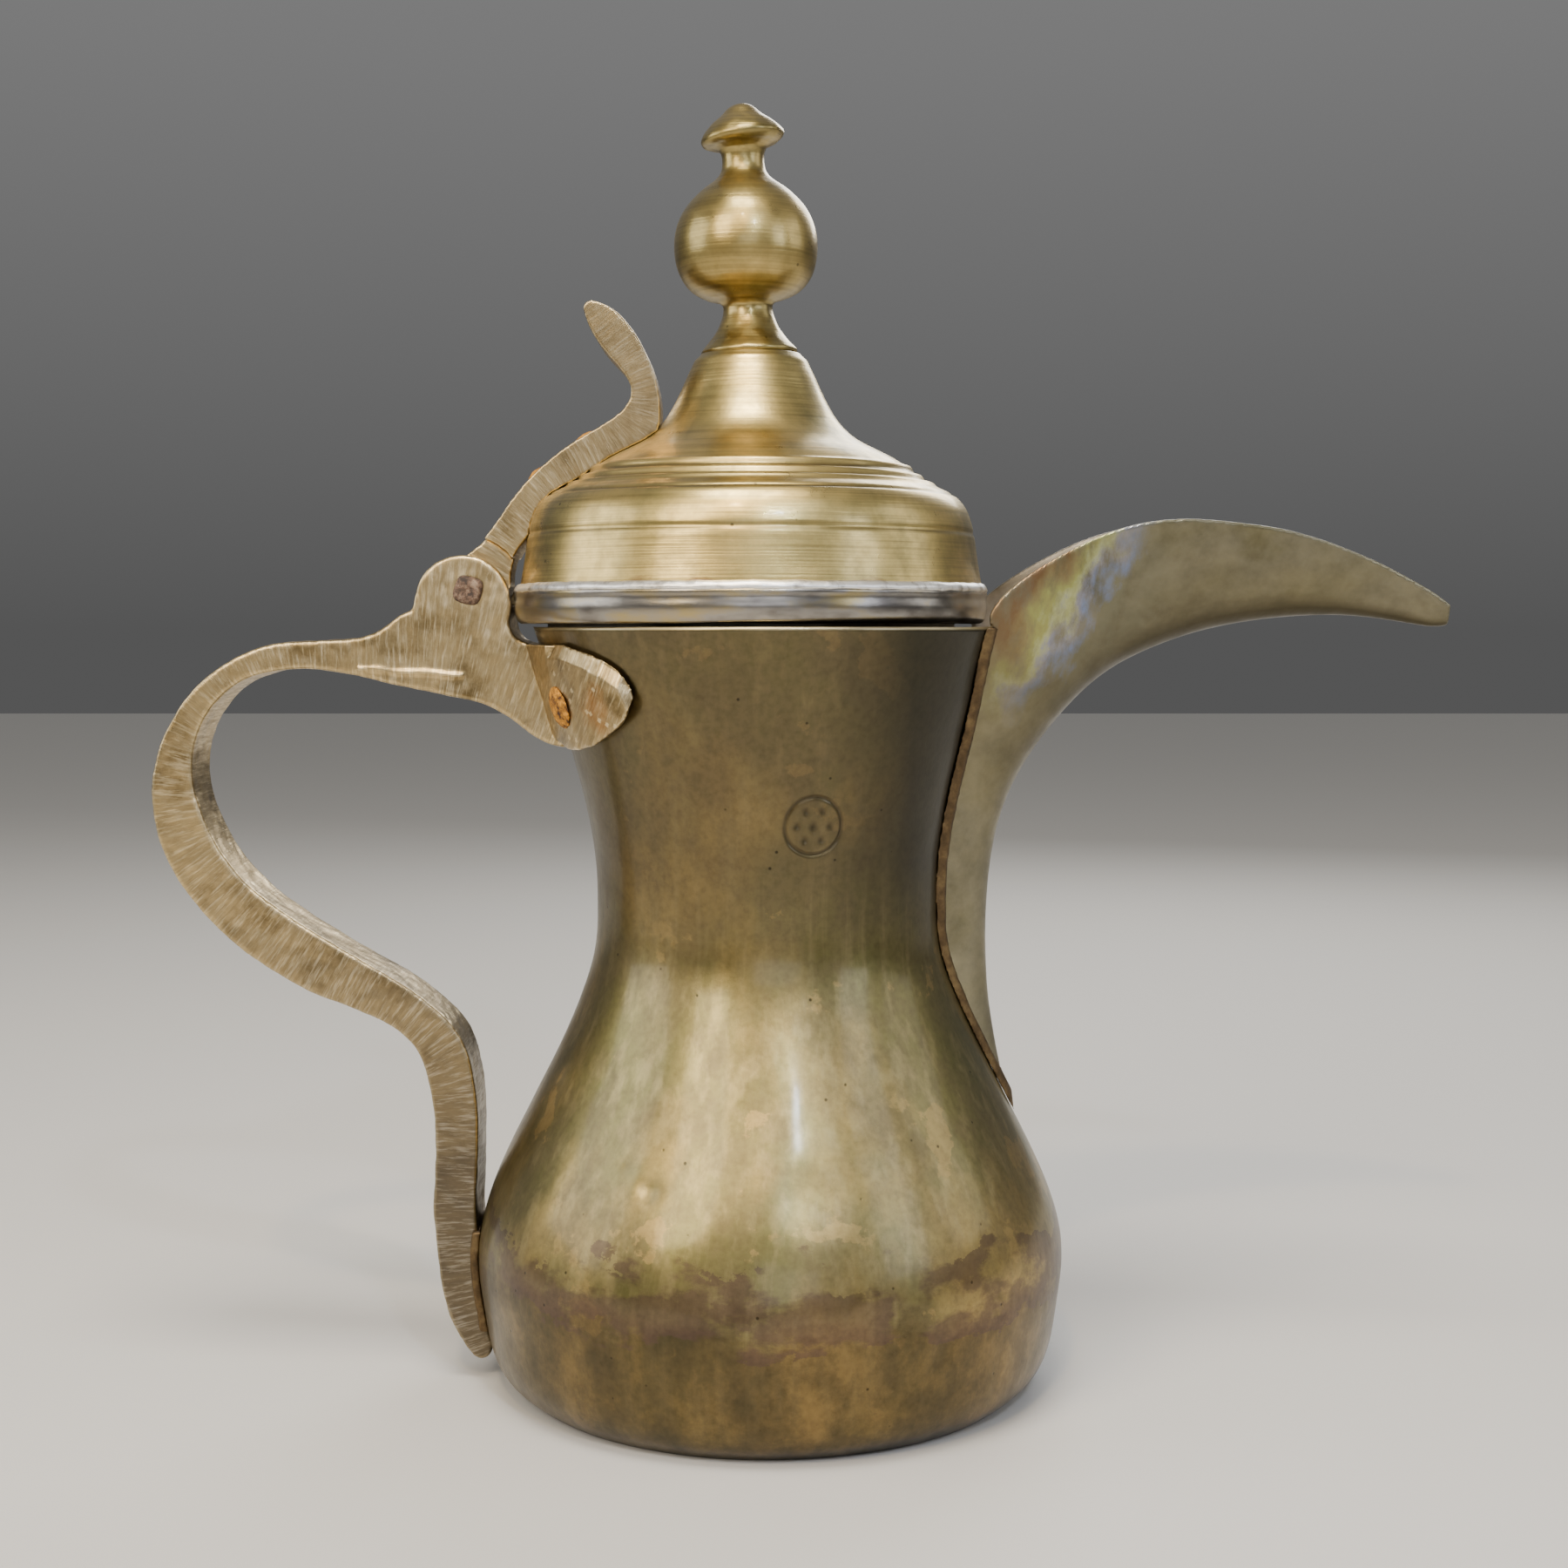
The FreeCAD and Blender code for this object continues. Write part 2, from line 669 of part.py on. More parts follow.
LEVER_BACK = [
    (-77.4, 187.2), (-76.2, 191.2), (-72.4, 194.4), (-67.5, 198.0), (-61.4, 205.8), (-54.4, 214.2),
    (-46.4, 220.6), (-37.6, 226.0), (-33.2, 229.6), (-32.0, 232.8), (-34.0, 237.4), (-38.4, 242.6),
    (-41.4, 247.4), (-42.9, 251.6),
]
LEVER_FRONT = [
    (-40.6, 253.6), (-36.8, 252.2), (-33.0, 248.8), (-29.6, 243.8), (-27.0, 238.0), (-25.6, 231.8),
    (-25.4, 226.8), (-27.4, 221.0), (-33.0, 217.8), (-41.1, 212.8), (-49.2, 206.8), (-55.5, 200.4),
    (-59.4, 195.0), (-60.6, 190.0),
]
KNUCKLE = [(-60.6, 190.0), (-61.2, 186.2), (-64.4, 182.2), (-70.0, 179.8), (-75.2, 181.9), (-77.4, 187.2)]
LEVER_RIVETS = [("lower", (-54.2, 214.4), 9.6), ("upper", (-43.6, 222.3), 8.6)]
LEVER_LEAN = math.radians(38)


def lever_blank(name, width):
    """The lever's outline padded to a width."""
    body = new_body(name)
    sketch = new_sketch(body, name + "_outline")
    outline(sketch, LEVER_BACK, [LEVER_BACK[-1], (-42.4, 253.2), LEVER_FRONT[0]], LEVER_FRONT, KNUCKLE)
    pad_both_ways(body, sketch, name + "_pad", width)
    return body


def make_lever():
    """Thumb lever: a narrow knuckle between the ears and a full-width arm above them."""
    centre = V(size("pin_x"), -20, size("pin_z"))
    arm = lever_blank("lever_arm", "dimensions.lever_width")
    tongue = lever_blank("lever_tongue", "dimensions.knuckle_width")
    clear = rod("lever_shoulder", "dimensions.shoulder_radius", 40, centre, V(0, 1, 0))
    whole = boolean("Fuse", "lever_whole", boolean("Cut", "lever_cut", arm, clear), tongue)
    hole = rod("lever_pin_hole", "dimensions.pin_radius + dimensions.pin_play", 40, centre, V(0, 1, 0))
    bored = boolean("Cut", "lever_bored", whole, hole)
    drilled = boolean("Cut", "lever_drilled", bored, lever_holes)
    seated = boolean("Cut", "lever_seated", drilled, dome_envelope)
    return boolean("Cut", "thumb_lever", seated, band_envelope)


def make_band_envelope():
    """Room that the lever leaves for the band."""
    outer, seat = size("band_radius"), size("lid_seat")
    top = seat + size("band_height") + 0.9
    runs = [[(0, seat - 2), (outer + 0.2, seat - 2)], [(outer + 0.2, seat - 2), (outer + 0.2, top)],
            [(outer + 0.2, top), (0, top)], [(0, top), (0, seat - 2)]]
    return lid_place(turned("band_envelope", runs))


def lever_axis():
    return V(-math.sin(LEVER_LEAN), 0, math.cos(LEVER_LEAN))


def make_lever_holes():
    bars = []
    for name, (across, up), grip in LEVER_RIVETS:
        start = V(across, 0, up) - lever_axis() * (grip + 4)
        bars.append(rod("lever_hole_" + name, "dimensions.lever_shank_radius", grip + 8,
                        start, lever_axis()))
    return boolean("Fuse", "lever_holes", bars[0], bars[1])


def make_lever_rivets():
    for name, (across, up), grip in LEVER_RIVETS:
        rivet("lever_rivet_" + name, V(across, 0, up), lever_axis(), size("lever_rivet_radius"), 1.2,
              size("lever_shank_radius"), grip)


# --- assembly ----------------------------------------------------------------

NODES = [
    "bowl", "neck", "base_disc", "base_braze", "waist_braze", "spout", "spout_solder",
    "handle", "foot_solder", "handle_rivet_near", "handle_rivet_far", "hinge_pin",
    "lid_dome", "lid_band", "lid_solder", "lid_collar", "finial", "finial_rove",
    "thumb_lever", "lever_rivet_lower", "lever_rivet_upper",
]

wing_holes = make_wing_holes()
bowl = make_bowl()
neck_shell = make_neck_shell()
neck = make_neck()
envelope = make_body_envelope("body_envelope", 0.0, size("body_height") + 22)
thick_envelope = make_body_envelope("body_envelope_thick", size("braze"), size("body_height"))
base_disc = make_base_disc()
make_base_braze()
make_waist_braze()
beak_outer, spout = make_spout()
make_spout_solder()
strap = make_strap()
wings = make_wing_band()
handle = make_handle()
make_foot_solder()
make_handle_rivets()
make_hinge_pin()
lever_holes = make_lever_holes()
dome_envelope = make_dome_envelope()
band_envelope = make_band_envelope()
thumb_lever = make_lever()
make_dome()
make_band()
make_lid_solder()
make_collar()
make_finial()
make_rove()
make_lever_rivets()
doc.recompute()


def check_and_write():
    for item in doc.Objects:
        if "Invalid" in item.State or "Error" in item.State:
            raise RuntimeError("%s did not recompute: %s" % (item.Label, item.State))
    os.makedirs("parts", exist_ok=True)
    for name in NODES:
        found = [item for item in doc.Objects if item.Label == name]
        shape = found[0].Shape
        if shape.isNull() or not shape.isValid():
            raise RuntimeError("%s has no valid shape" % name)
        shape.exportStep("parts/%s.step" % name)
        print(name, len(shape.Solids), round(shape.Volume, 1))


check_and_write()
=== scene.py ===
import json
import math

import bmesh
import bpy
import numpy as np
from bpy.props import FloatProperty, IntProperty, PointerProperty, StringProperty
from mathutils import Matrix, Vector, noise


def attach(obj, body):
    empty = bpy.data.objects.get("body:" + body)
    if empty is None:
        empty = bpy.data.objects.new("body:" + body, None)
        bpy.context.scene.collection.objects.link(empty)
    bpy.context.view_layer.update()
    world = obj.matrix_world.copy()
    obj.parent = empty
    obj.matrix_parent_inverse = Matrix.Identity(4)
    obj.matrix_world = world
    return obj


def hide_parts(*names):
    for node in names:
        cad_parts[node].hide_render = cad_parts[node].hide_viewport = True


bl_info = {
    "name": "Brass dallah",
    "version": (1, 0, 0),
    "blender": (4, 5, 0),
    "location": "View3D > Sidebar > Dallah",
    "description": "Surfaces and finishes of a brass coffee pot around its packed frame",
    "category": "Add Mesh",
}

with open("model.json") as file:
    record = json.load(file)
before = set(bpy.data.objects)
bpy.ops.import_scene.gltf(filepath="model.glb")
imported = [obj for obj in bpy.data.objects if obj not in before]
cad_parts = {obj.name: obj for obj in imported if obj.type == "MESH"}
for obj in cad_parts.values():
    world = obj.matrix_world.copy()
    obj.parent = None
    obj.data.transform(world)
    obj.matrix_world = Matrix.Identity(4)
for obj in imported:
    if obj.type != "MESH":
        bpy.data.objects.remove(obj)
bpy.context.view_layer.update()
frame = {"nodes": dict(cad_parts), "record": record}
MM = 0.001


# --- sizes and colours -------------------------------------------------------

class DallahSizes(bpy.types.PropertyGroup):
    sheet: FloatProperty(name="Sheet", description="Thickness of the hammered sheet",
                         default=1.2 * MM, unit="LENGTH")
    dent_depth: FloatProperty(name="Dent depth", description="How far the old sheet waves in and out",
                              default=0.22 * MM, unit="LENGTH")
    lid_offset: FloatProperty(name="Lid offset", description="The lid's axis, towards the handle",
                              default=-4.4 * MM, unit="LENGTH")
    ridge_height: FloatProperty(name="Ridge height", description="Turned ridges on the dome",
                                default=0.5 * MM, unit="LENGTH")
    file_depth: FloatProperty(name="File depth", description="Unevenness left by filing the castings",
                              default=0.22 * MM, unit="LENGTH")
    turns: IntProperty(name="Steps round", description="Steps round a turned piece", default=288)


class DallahColours(bpy.types.PropertyGroup):
    body_gold: StringProperty(name="Body gold", description="Brass where hands polish it",
                              default="#b39a5e")
    body_olive: StringProperty(name="Body olive", description="Oxide film on the body", default="#7d7746")
    body_brown: StringProperty(name="Body brown", description="Heat and coffee stain", default="#5c4740")
    lid_gold: StringProperty(name="Lid gold", description="Turned brass of the lid", default="#dec27a")
    lid_dark: StringProperty(name="Lid dark", description="Oxide in the turned lines",
                             default="#8f7b44")
    spout_grey: StringProperty(name="Beak grey", description="Grey film on the beak", default="#8f8a76")
    bronze: StringProperty(name="Bronze", description="Filed casting", default="#b6a075")
    bronze_dark: StringProperty(name="Bronze dark", description="Uncleaned casting skin",
                                default="#544d43")
    rust: StringProperty(name="Rust", description="Rust on the iron rivets", default="#a5701f")
    floor: StringProperty(name="Floor", description="Plain floor", default="#cfccc6")


def sizes():
    return bpy.context.scene.dallah_sizes


def colours():
    return bpy.context.scene.dallah_colours


def linear(code):
    """sRGB hex to the linear colour that the shaders use."""
    parts = [int(code[i:i + 2], 16) / 255 for i in (1, 3, 5)]
    return tuple(c / 12.92 if c <= 0.04045 else ((c + 0.055) / 1.055) ** 2.4 for c in parts) + (1.0,)


# --- curves and meshes -------------------------------------------------------

def smooth_curve(points, step):
    """Natural cubic through the points, walked in even steps. Points and step in millimetres."""
    p = np.array(points, float)
    t = np.concatenate([[0], np.cumsum(np.linalg.norm(np.diff(p, axis=0), axis=1))])
    n = len(p)
    h = np.diff(t)
    a = np.eye(n)
    b = np.zeros((n, 2))
    for i in range(1, n - 1):
        a[i, i - 1:i + 2] = h[i - 1], 2 * (h[i - 1] + h[i]), h[i]
        b[i] = 6 * ((p[i + 1] - p[i]) / h[i] - (p[i] - p[i - 1]) / h[i - 1])
    m = np.linalg.solve(a, b)
    count = max(2, int(math.ceil(t[-1] / step)))
    out = []
    for s in np.linspace(0, t[-1], count + 1):
        i = min(int(np.searchsorted(t, s, side="right")) - 1, n - 2)
        u, v = t[i + 1] - s, s - t[i]
        out.append((m[i] * u ** 3 + m[i + 1] * v ** 3) / (6 * h[i])
                   + (p[i] / h[i] - m[i] * h[i] / 6) * u + (p[i + 1] / h[i] - m[i + 1] * h[i] / 6) * v)
    return [tuple(q) for q in out]


def inward(points, distance):
    """The profile moved towards the axis side by a sheet's thickness."""
    moved = []
    for i, (r, z) in enumerate(points):
        before, after = points[max(i - 1, 0)], points[min(i + 1, len(points) - 1)]
        dr, dz = after[0] - before[0], after[1] - before[1]
        size = math.hypot(dr, dz)
        moved.append((r - dz / size * distance, z + dr / size * distance))
    return moved


def joined(*runs):
    """Profile runs end to end, without doubled points."""
    out = []
    for run in runs:
        for point in run:
            if not out or math.dist(out[-1], point) > 1e-6:
                out.append(tuple(point))
    if math.dist(out[0], out[-1]) < 1e-6:
        out.pop()
    return out


def lathe(name, profile, axis_x=0.0, closed=True, angles=None, lean=0.0, pivot_z=0.0):
    """Turned mesh about a vertical axis. Profile of (radius, height) in millimetres, counterclockwise.

    Angles give other steps round it than the even ones; lean tips it by degrees about pivot_z.
    """
    if angles is None:
        steps = sizes().turns
        angles = [2 * math.pi * i / steps for i in range(steps)]
    rings, count = len(profile), len(angles)
    verts, faces, start = [], [], []
    for r, z in profile:
        if r < 1e-4:
            start.append((len(verts), 1))
            verts.append((0.0, 0.0, z))
        else:
            start.append((len(verts), count))
            verts += [(r * math.cos(a), r * math.sin(a), z) for a in angles]
    last = rings if closed else rings - 1
    for k in range(last):
        (a, na), (b, nb) = start[k], start[(k + 1) % rings]
        for i in range(count):
            j = (i + 1) % count
            if na == 1 and nb == 1:
                continue
            if na == 1:
                faces.append((a, b + j, b + i))
            elif nb == 1:
                faces.append((a + i, a + j, b))
            else:
                faces.append((a + i, a + j, b + j, b + i))
    mesh = bpy.data.meshes.new(name)
    mesh.from_pydata([Vector(v) * MM for v in verts], [], faces)
    turn = Matrix.Rotation(math.radians(lean), 4, "Y")
    mesh.transform(Matrix.Translation((axis_x * MM, 0, pivot_z * MM)) @ turn
                   @ Matrix.Translation((0, 0, -pivot_z * MM)))
    mesh.polygons.foreach_set("use_smooth", [True] * len(mesh.polygons))
    mesh.update()
    piece = bpy.data.objects.new(name, mesh)
    bpy.context.scene.collection.objects.link(piece)
    return piece


def baked(piece):
    """Applies the piece's modifiers."""
    bpy.context.view_layer.update()
    shown = piece.evaluated_get(bpy.context.evaluated_depsgraph_get())
    mesh = bpy.data.meshes.new_from_object(shown)
    piece.modifiers.clear()
    old = piece.data
    piece.data = mesh
    bpy.data.meshes.remove(old)
    mesh.polygons.foreach_set("use_smooth", [True] * len(mesh.polygons))
    return piece


def worn_copy(node, name, voxel, rounds):
    """A CAD node's form as one hand-finished skin, its sharp edges worn round."""
    mesh = frame["nodes"][node].data.copy()
    mesh.name = name
    mesh.materials.clear()
    piece = bpy.data.objects.new(name, mesh)
    bpy.context.scene.collection.objects.link(piece)
    form = piece.modifiers.new("form", "REMESH")
    form.mode = "VOXEL"
    form.voxel_size = voxel * MM
    form.use_smooth_shade = True
    wear = piece.modifiers.new("wear", "SMOOTH")
    wear.factor = 0.5
    wear.iterations = rounds
    return baked(piece)


def coordinates(piece):
    """Vertex positions in millimetres."""
    co = np.zeros(len(piece.data.vertices) * 3, np.float32)
    piece.data.vertices.foreach_get("co", co)
    return co.reshape(-1, 3) / MM


def place_vertices(piece, co):
    piece.data.vertices.foreach_set("co", (co * MM).astype(np.float32).ravel())
    piece.data.update()


def displace(piece, height, hollow=False):
    """Moves each vertex along its normal by height(point) in millimetres.

    Both walls of a hollow sheet move the same way, so that its thickness stays.
    """
    co = coordinates(piece)
    normal = np.zeros(co.size, np.float32)
    piece.data.vertices.foreach_get("normal", normal)
    normal = normal.reshape(-1, 3)
    push = np.array([height(Vector(p)) for p in co])
    if hollow:
        push *= np.where((co[:, :2] * normal[:, :2]).sum(1) < 0, -1, 1)
    place_vertices(piece, co + normal * push[:, None])


def store(piece, name, values):
    """Keeps one number for each vertex, for the finish to use."""
    layer = piece.data.attributes.new(name, "FLOAT", "POINT")
    layer.data.foreach_set("value", np.array(values, np.float32))


def waves(point, width, seed=0.0):
    """Smooth hills about a width apart, from -1 to 1. Width in millimetres."""
    return noise.noise(point / width + Vector((seed, seed * 1.7, -seed)))


def finish_piece(piece, body, slot, finish, *nodes):
    """Gives a piece its finish and its body, and hides the CAD nodes that it stands for. The slot is not
    used.
    """
    piece.data.materials.clear()
    piece.data.materials.append(finish)
    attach(piece, body)
    if nodes:
        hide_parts(*nodes)
    return piece


# --- materials ---------------------------------------------------------------

def add(tree, kind, inputs=None, ramp=(), **settings):
    """Adds a shader node. Inputs are outputs to link or plain values; ramp holds (place, colour) stops."""
    node = tree.nodes.new("ShaderNode" + kind)
    if ramp:
        stops = node.color_ramp.elements
        while len(stops) < len(ramp):
            stops.new(0.5)
        for stop, (place, colour) in zip(stops, ramp):
            stop.position = place
            stop.color = colour
    for name, value in settings.items():
        setattr(node, name, value)
    for socket, value in (inputs or {}).items():
        if isinstance(value, bpy.types.NodeSocket):
            tree.links.new(value, node.inputs[socket])
        else:
            node.inputs[socket].default_value = value
    return node


def new_material(name, metallic, roughness):
    """A Principled material: gives it, its tree, its shader and the piece's own coordinates."""
    material = bpy.data.materials.new(name)
    material.use_nodes = True
    tree = material.node_tree
    tree.nodes.clear()
    shader = add(tree, "BsdfPrincipled", {"Metallic": metallic, "Roughness": roughness})
    add(tree, "OutputMaterial", {"Surface": shader.outputs[0]})
    return material, tree, shader, add(tree, "TexCoord").outputs["Object"]


def pattern(tree, place, size_mm, stretch=(1, 1, 1), detail=4.0, rough=0.55):
    """Noise whose features are about size_mm across, drawn out by stretch along each axis."""
    scale = tuple(1.0 / (size_mm * MM * s) for s in stretch)
    mapped = add(tree, "Mapping", {"Vector": place, "Scale": scale}).outputs[0]
    noise_inputs = {"Vector": mapped, "Scale": 1.0, "Detail": detail, "Roughness": rough}
    return add(tree, "TexNoise", noise_inputs).outputs["Fac"]


def shade(tree, what):
    """A hex colour, an output, a number, or (output, (place, hex or grey), ...) for a run of shades."""
    if isinstance(what, str):
        return linear(what)
    if isinstance(what, tuple):
        stops = [(place, linear(tone) if isinstance(tone, str) else (tone, tone, tone, 1.0))
                 for place, tone in what[1:]]
        return add(tree, "ValToRGB", {"Fac": what[0]}, stops).outputs[0]
    return what


def layered(tree, base, *layers):
    """Lays shades over a base in turn, each (where, shade) or (where, shade, way of mixing)."""
    base = shade(tree, base)
    for where, colour, *way in layers:
        inputs = {0: shade(tree, where), 6: base, 7: shade(tree, colour)}
        base = add(tree, "Mix", inputs, data_type="RGBA", blend_type=way[0] if way else "MIX").outputs[2]
    return base


def sum_heights(tree, *parts):
    """Weighted sum of outputs, each (output, weight)."""
    total = None
    for output, weight in parts:
        scaled = add(tree, "Math", {0: output, 1: weight}, operation="MULTIPLY").outputs[0]
        if total is None:
            total = scaled
        else:
            total = add(tree, "Math", {0: total, 1: scaled}, operation="ADD").outputs[0]
    return total


def dress(tree, shader, base, *heights, roughness=None, film=0.0):
    """Gives the shader its colour, its bump from heights weighted in millimetres, and a film of wax."""
    tree.links.new(base, shader.inputs["Base Color"])
    if roughness:
        tree.links.new(shade(tree, roughness), shader.inputs["Roughness"])
    if film:
        shader.inputs["Coat Weight"].default_value = film
        shader.inputs["Coat Roughness"].default_value = 0.12
    bump = add(tree, "Bump", {"Strength": 1.0, "Distance": MM, "Height": sum_heights(tree, *heights)})
    tree.links.new(bump.outputs[0], shader.inputs["Normal"])


def body_brass():
    """Hammered, burnished cartridge brass under a century of handling: soft reflections,
    an olive oxide film with rubbed gold in it, upright burnishing streaks, flaked patches
    and a purple-brown tide line low down."""
    material, tree, shader, place = new_material("burnished_brass_patina", 1.0, 0.3)
    hue = colours()
    axes = add(tree, "SeparateXYZ", {"Vector": place}).outputs
    across, height = axes["X"], axes["Z"]
    cloud = pattern(tree, place, 38, (1, 1, 1.7), 4)
    patch = pattern(tree, place, 12, (1, 1, 1.3), 8, 0.66)
    streak = pattern(tree, place, 4, (1, 1, 14), 4, 0.55)
    grain = pattern(tree, place, 1.6, detail=3)
    flake = pattern(tree, place, 17, (1, 1, 0.9), 9, 0.6)
    # The tide line wanders about its height, warm brown below it and stained along it.
    level = sum_heights(tree, (height, 1.0), (pattern(tree, place, 20, (1, 1, 0.6), 9, 0.62), 0.036))
    warm = add(tree, "MapRange", {"Value": level, "From Min": 0.046, "From Max": 0.054,
                                  "To Min": 0.75, "To Max": 0.0}).outputs[0]
    stain = add(tree, "Math", {0: level, 1: 0.053, 2: 0.0085}, operation="COMPARE").outputs[0]
    broken = shade(tree, (pattern(tree, place, 19, (1, 1, 0.55), 9, 0.62), (0.45, 0.0), (0.53, 0.6)))
    stained = add(tree, "Math", {0: stain, 1: broken}, operation="MULTIPLY").outputs[0]
    # Painted shade: the neck is darker, standing in for the dark room that it reflects, and darkest beside
    # the beak, standing in for the beak's shadow.
    upper = add(tree, "MapRange", {"Value": height, "From Min": 0.096, "From Max": 0.126,
                                   "To Max": 0.72}).outputs[0]
    beside = add(tree, "MapRange", {"Value": across, "From Min": 0.012, "From Max": 0.032,
                                    "To Max": 1.3}).outputs[0]
    beak_side_painted_shade = add(tree, "Math", {0: beside, 1: upper}, operation="MULTIPLY").outputs[0]
    pits = add(tree, "TexVoronoi", {"Vector": place, "Scale": 1 / (7 * MM)}).outputs["Distance"]
    spots = shade(tree, (pits, (0.03, 0.3), (0.065, 1.0)))
    recess = add(tree, "Attribute", attribute_name="recess").outputs["Fac"]
    lip = add(tree, "MapRange", {"Value": height, "From Min": 0.1778, "From Max": 0.1784,
                                 "To Max": 0.7}).outputs[0]
    base = layered(
        tree, (cloud, (0.34, hue.body_olive), (0.5, "#847a4e"), (0.64, hue.body_gold)),
        ((patch, (0.40, 0.6), (0.60, 0.0)), "#77694a"),
        ((streak, (0.5, 0.0), (0.7, 0.4)), "#b8a674"),
        ((flake, (0.605, 0.0), (0.625, 0.5)), "#b89c62"),
        (warm, (patch, (0.34, "#342d1c"), (0.50, "#4f4028"), (0.64, "#6f5936"))),
        (stained, hue.body_brown),
        (upper, "#4d4330"),
        (beak_side_painted_shade, "#2f2c1e"),
        (1.0, spots, "MULTIPLY"),
        (0.5, (grain, (0.3, 0.62), (0.6, 1.0)), "MULTIPLY"),
        (recess, "#3c3424"),
        (lip, "#d8c79a"))
    brushing = pattern(tree, place, 0.5, (1, 1, 40), 3)
    dress(tree, shader, base, (brushing, 0.012), (grain, 0.02), (patch, 0.10), (spots, 0.06),
          roughness=(patch, (0.3, 0.46), (0.7, 0.30)), film=0.3)
    return material


def tinned_brass():
    """Hot-tinned inner face: dull grey metal with dark coffee film."""
    material, tree, shader, place = new_material("old_tinning", 0.9, 0.5)
    cloud = pattern(tree, place, 18, detail=6)
    base = layered(tree, (cloud, (0.3, "#4b4237"), (0.55, "#8b8478"), (0.8, "#a9a397")))
    dress(tree, shader, base, (pattern(tree, place, 3, detail=4), 0.08))
    return material


def spout_brass():
    """Folded brass sheet with a thin grey-gold film: oil colours where it was heated, and painted shade on
    its underside.
    """
    material, tree, shader, place = new_material("grey_filmed_brass", 1.0, 0.32)
    cloud = pattern(tree, place, 26, (1.4, 1, 1), 5)
    patch = pattern(tree, place, 7, detail=6, rough=0.62)
    # The oil colours follow each other in bands square to the beak's rise.
    start = add(tree, "VectorMath", {0: place, 1: (0.0837, 0, 0.1988)}, operation="SUBTRACT").outputs[0]
    band = add(tree, "VectorMath", {0: start, 1: (-0.834, 0, 0.552)}, operation="DOT_PRODUCT")
    wander = sum_heights(tree, (band.outputs["Value"], 1.0),
                         (pattern(tree, place, 10, (1, 1, 1.6), 7, 0.6), 0.022))
    along = add(tree, "MapRange", {"Value": wander, "From Min": 0.008, "From Max": 0.029}).outputs[0]
    oil = (along, (0.0, "#8d8a72"), (0.16, "#8fa2cc"), (0.27, "#b4b4c4"), (0.36, "#d8dba0"),
           (0.46, "#bfbf70"), (0.6, "#a89868"), (0.8, "#8c6a48"))
    away = add(tree, "VectorMath", {0: place, 1: (0.067, -0.018, 0.184)}, operation="DISTANCE")
    heated = add(tree, "MapRange", {"Value": away.outputs["Value"], "From Min": 0.012, "From Max": 0.032,
                                    "To Min": 0.85, "To Max": 0.0}).outputs[0]
    broken = shade(tree, (pattern(tree, place, 6, (1, 1, 2.2), 7, 0.66), (0.38, 0.15), (0.56, 1.0)))
    heated = add(tree, "Math", {0: heated, 1: broken}, operation="MULTIPLY").outputs[0]
    # Painted shade: faces that look downward, under the beak, are darkened.
    facing = add(tree, "SeparateXYZ", {"Vector": add(tree, "TexCoord").outputs["Normal"]}).outputs["Z"]
    underside_painted_shade = add(tree, "MapRange", {"Value": facing, "From Min": -0.7, "From Max": -0.02,
                                     "To Min": 0.9, "To Max": 0.0}).outputs[0]
    base = layered(
        tree, (cloud, (0.34, "#6f6a4c"), (0.5, colours().spout_grey), (0.68, "#9c9474")),
        (0.45, (patch, (0.3, "#5f583e"), (0.7, "#a39a7a"))),
        (heated, oil),
        (underside_painted_shade, "#3d3728"))
    dress(tree, shader, base, (patch, 0.10), (pattern(tree, place, 1.0, detail=3), 0.015),
          roughness=(patch, (0.3, 0.46), (0.7, 0.3)))
    return material


def lid_brass():
    """Spun and turned brass, brighter than the body, with fine tool lines round it."""
    material, tree, shader, place = new_material("turned_brass", 1.0, 0.3)
    hue = colours()
    height = add(tree, "SeparateXYZ", {"Vector": place}).outputs["Z"]
    cloud = pattern(tree, place, 22, detail=5)
    patch = pattern(tree, place, 5, detail=6, rough=0.65)
    lines = pattern(tree, place, 0.5, (90, 90, 1), 2)
    pits = add(tree, "TexVoronoi", {"Vector": place, "Scale": 1 / (8 * MM)}).outputs["Distance"]
    level = sum_heights(tree, (height, 1.0), (pattern(tree, place, 9, (1, 1, 0.4), 7, 0.6), 0.008))
    flux = add(tree, "MapRange", {"Value": level, "From Min": 0.1918, "From Max": 0.1928,
                                  "To Min": 0.75, "To Max": 0.0}).outputs[0]
    handled = add(tree, "MapRange", {"Value": height, "From Min": 0.240, "From Max": 0.246,
                                     "To Max": 0.4}).outputs[0]
    # Painted shade: the turned grooves are darkened, by the share that the dome stores on its vertices.
    turned = add(tree, "Attribute", attribute_name="groove_painted_shade").outputs["Fac"]
    base = layered(
        tree, (cloud, (0.36, "#8a8254"), (0.6, hue.lid_gold)),
        (0.4, (patch, (0.3, hue.lid_dark), (0.62, hue.lid_gold))),
        (0.4, (lines, (0.34, 0.35), (0.56, 1.0)), "MULTIPLY"),
        (1.0, (pits, (0.03, 0.3), (0.06, 1.0)), "MULTIPLY"),
        (flux, "#6a4a38"),
        (handled, "#7d6c3e"),
        (turned, "#5d5232"))
    dress(tree, shader, base, (lines, 0.05), (patch, 0.05),
          roughness=(patch, (0.3, 0.40), (0.7, 0.26)), film=0.25)
    return material


def band_brass():
    """Strip brass gone dull and grey from the solder's flux."""
    material, tree, shader, place = new_material("flux_greyed_brass", 1.0, 0.27)
    cloud = pattern(tree, place, 14, (1, 1, 0.4), 5)
    base = layered(tree, (cloud, (0.34, "#716c66"), (0.5, "#99948c"), (0.66, "#a8986e")))
    dress(tree, shader, base, (pattern(tree, place, 4, (3, 3, 1), 4), 0.08))
    return material


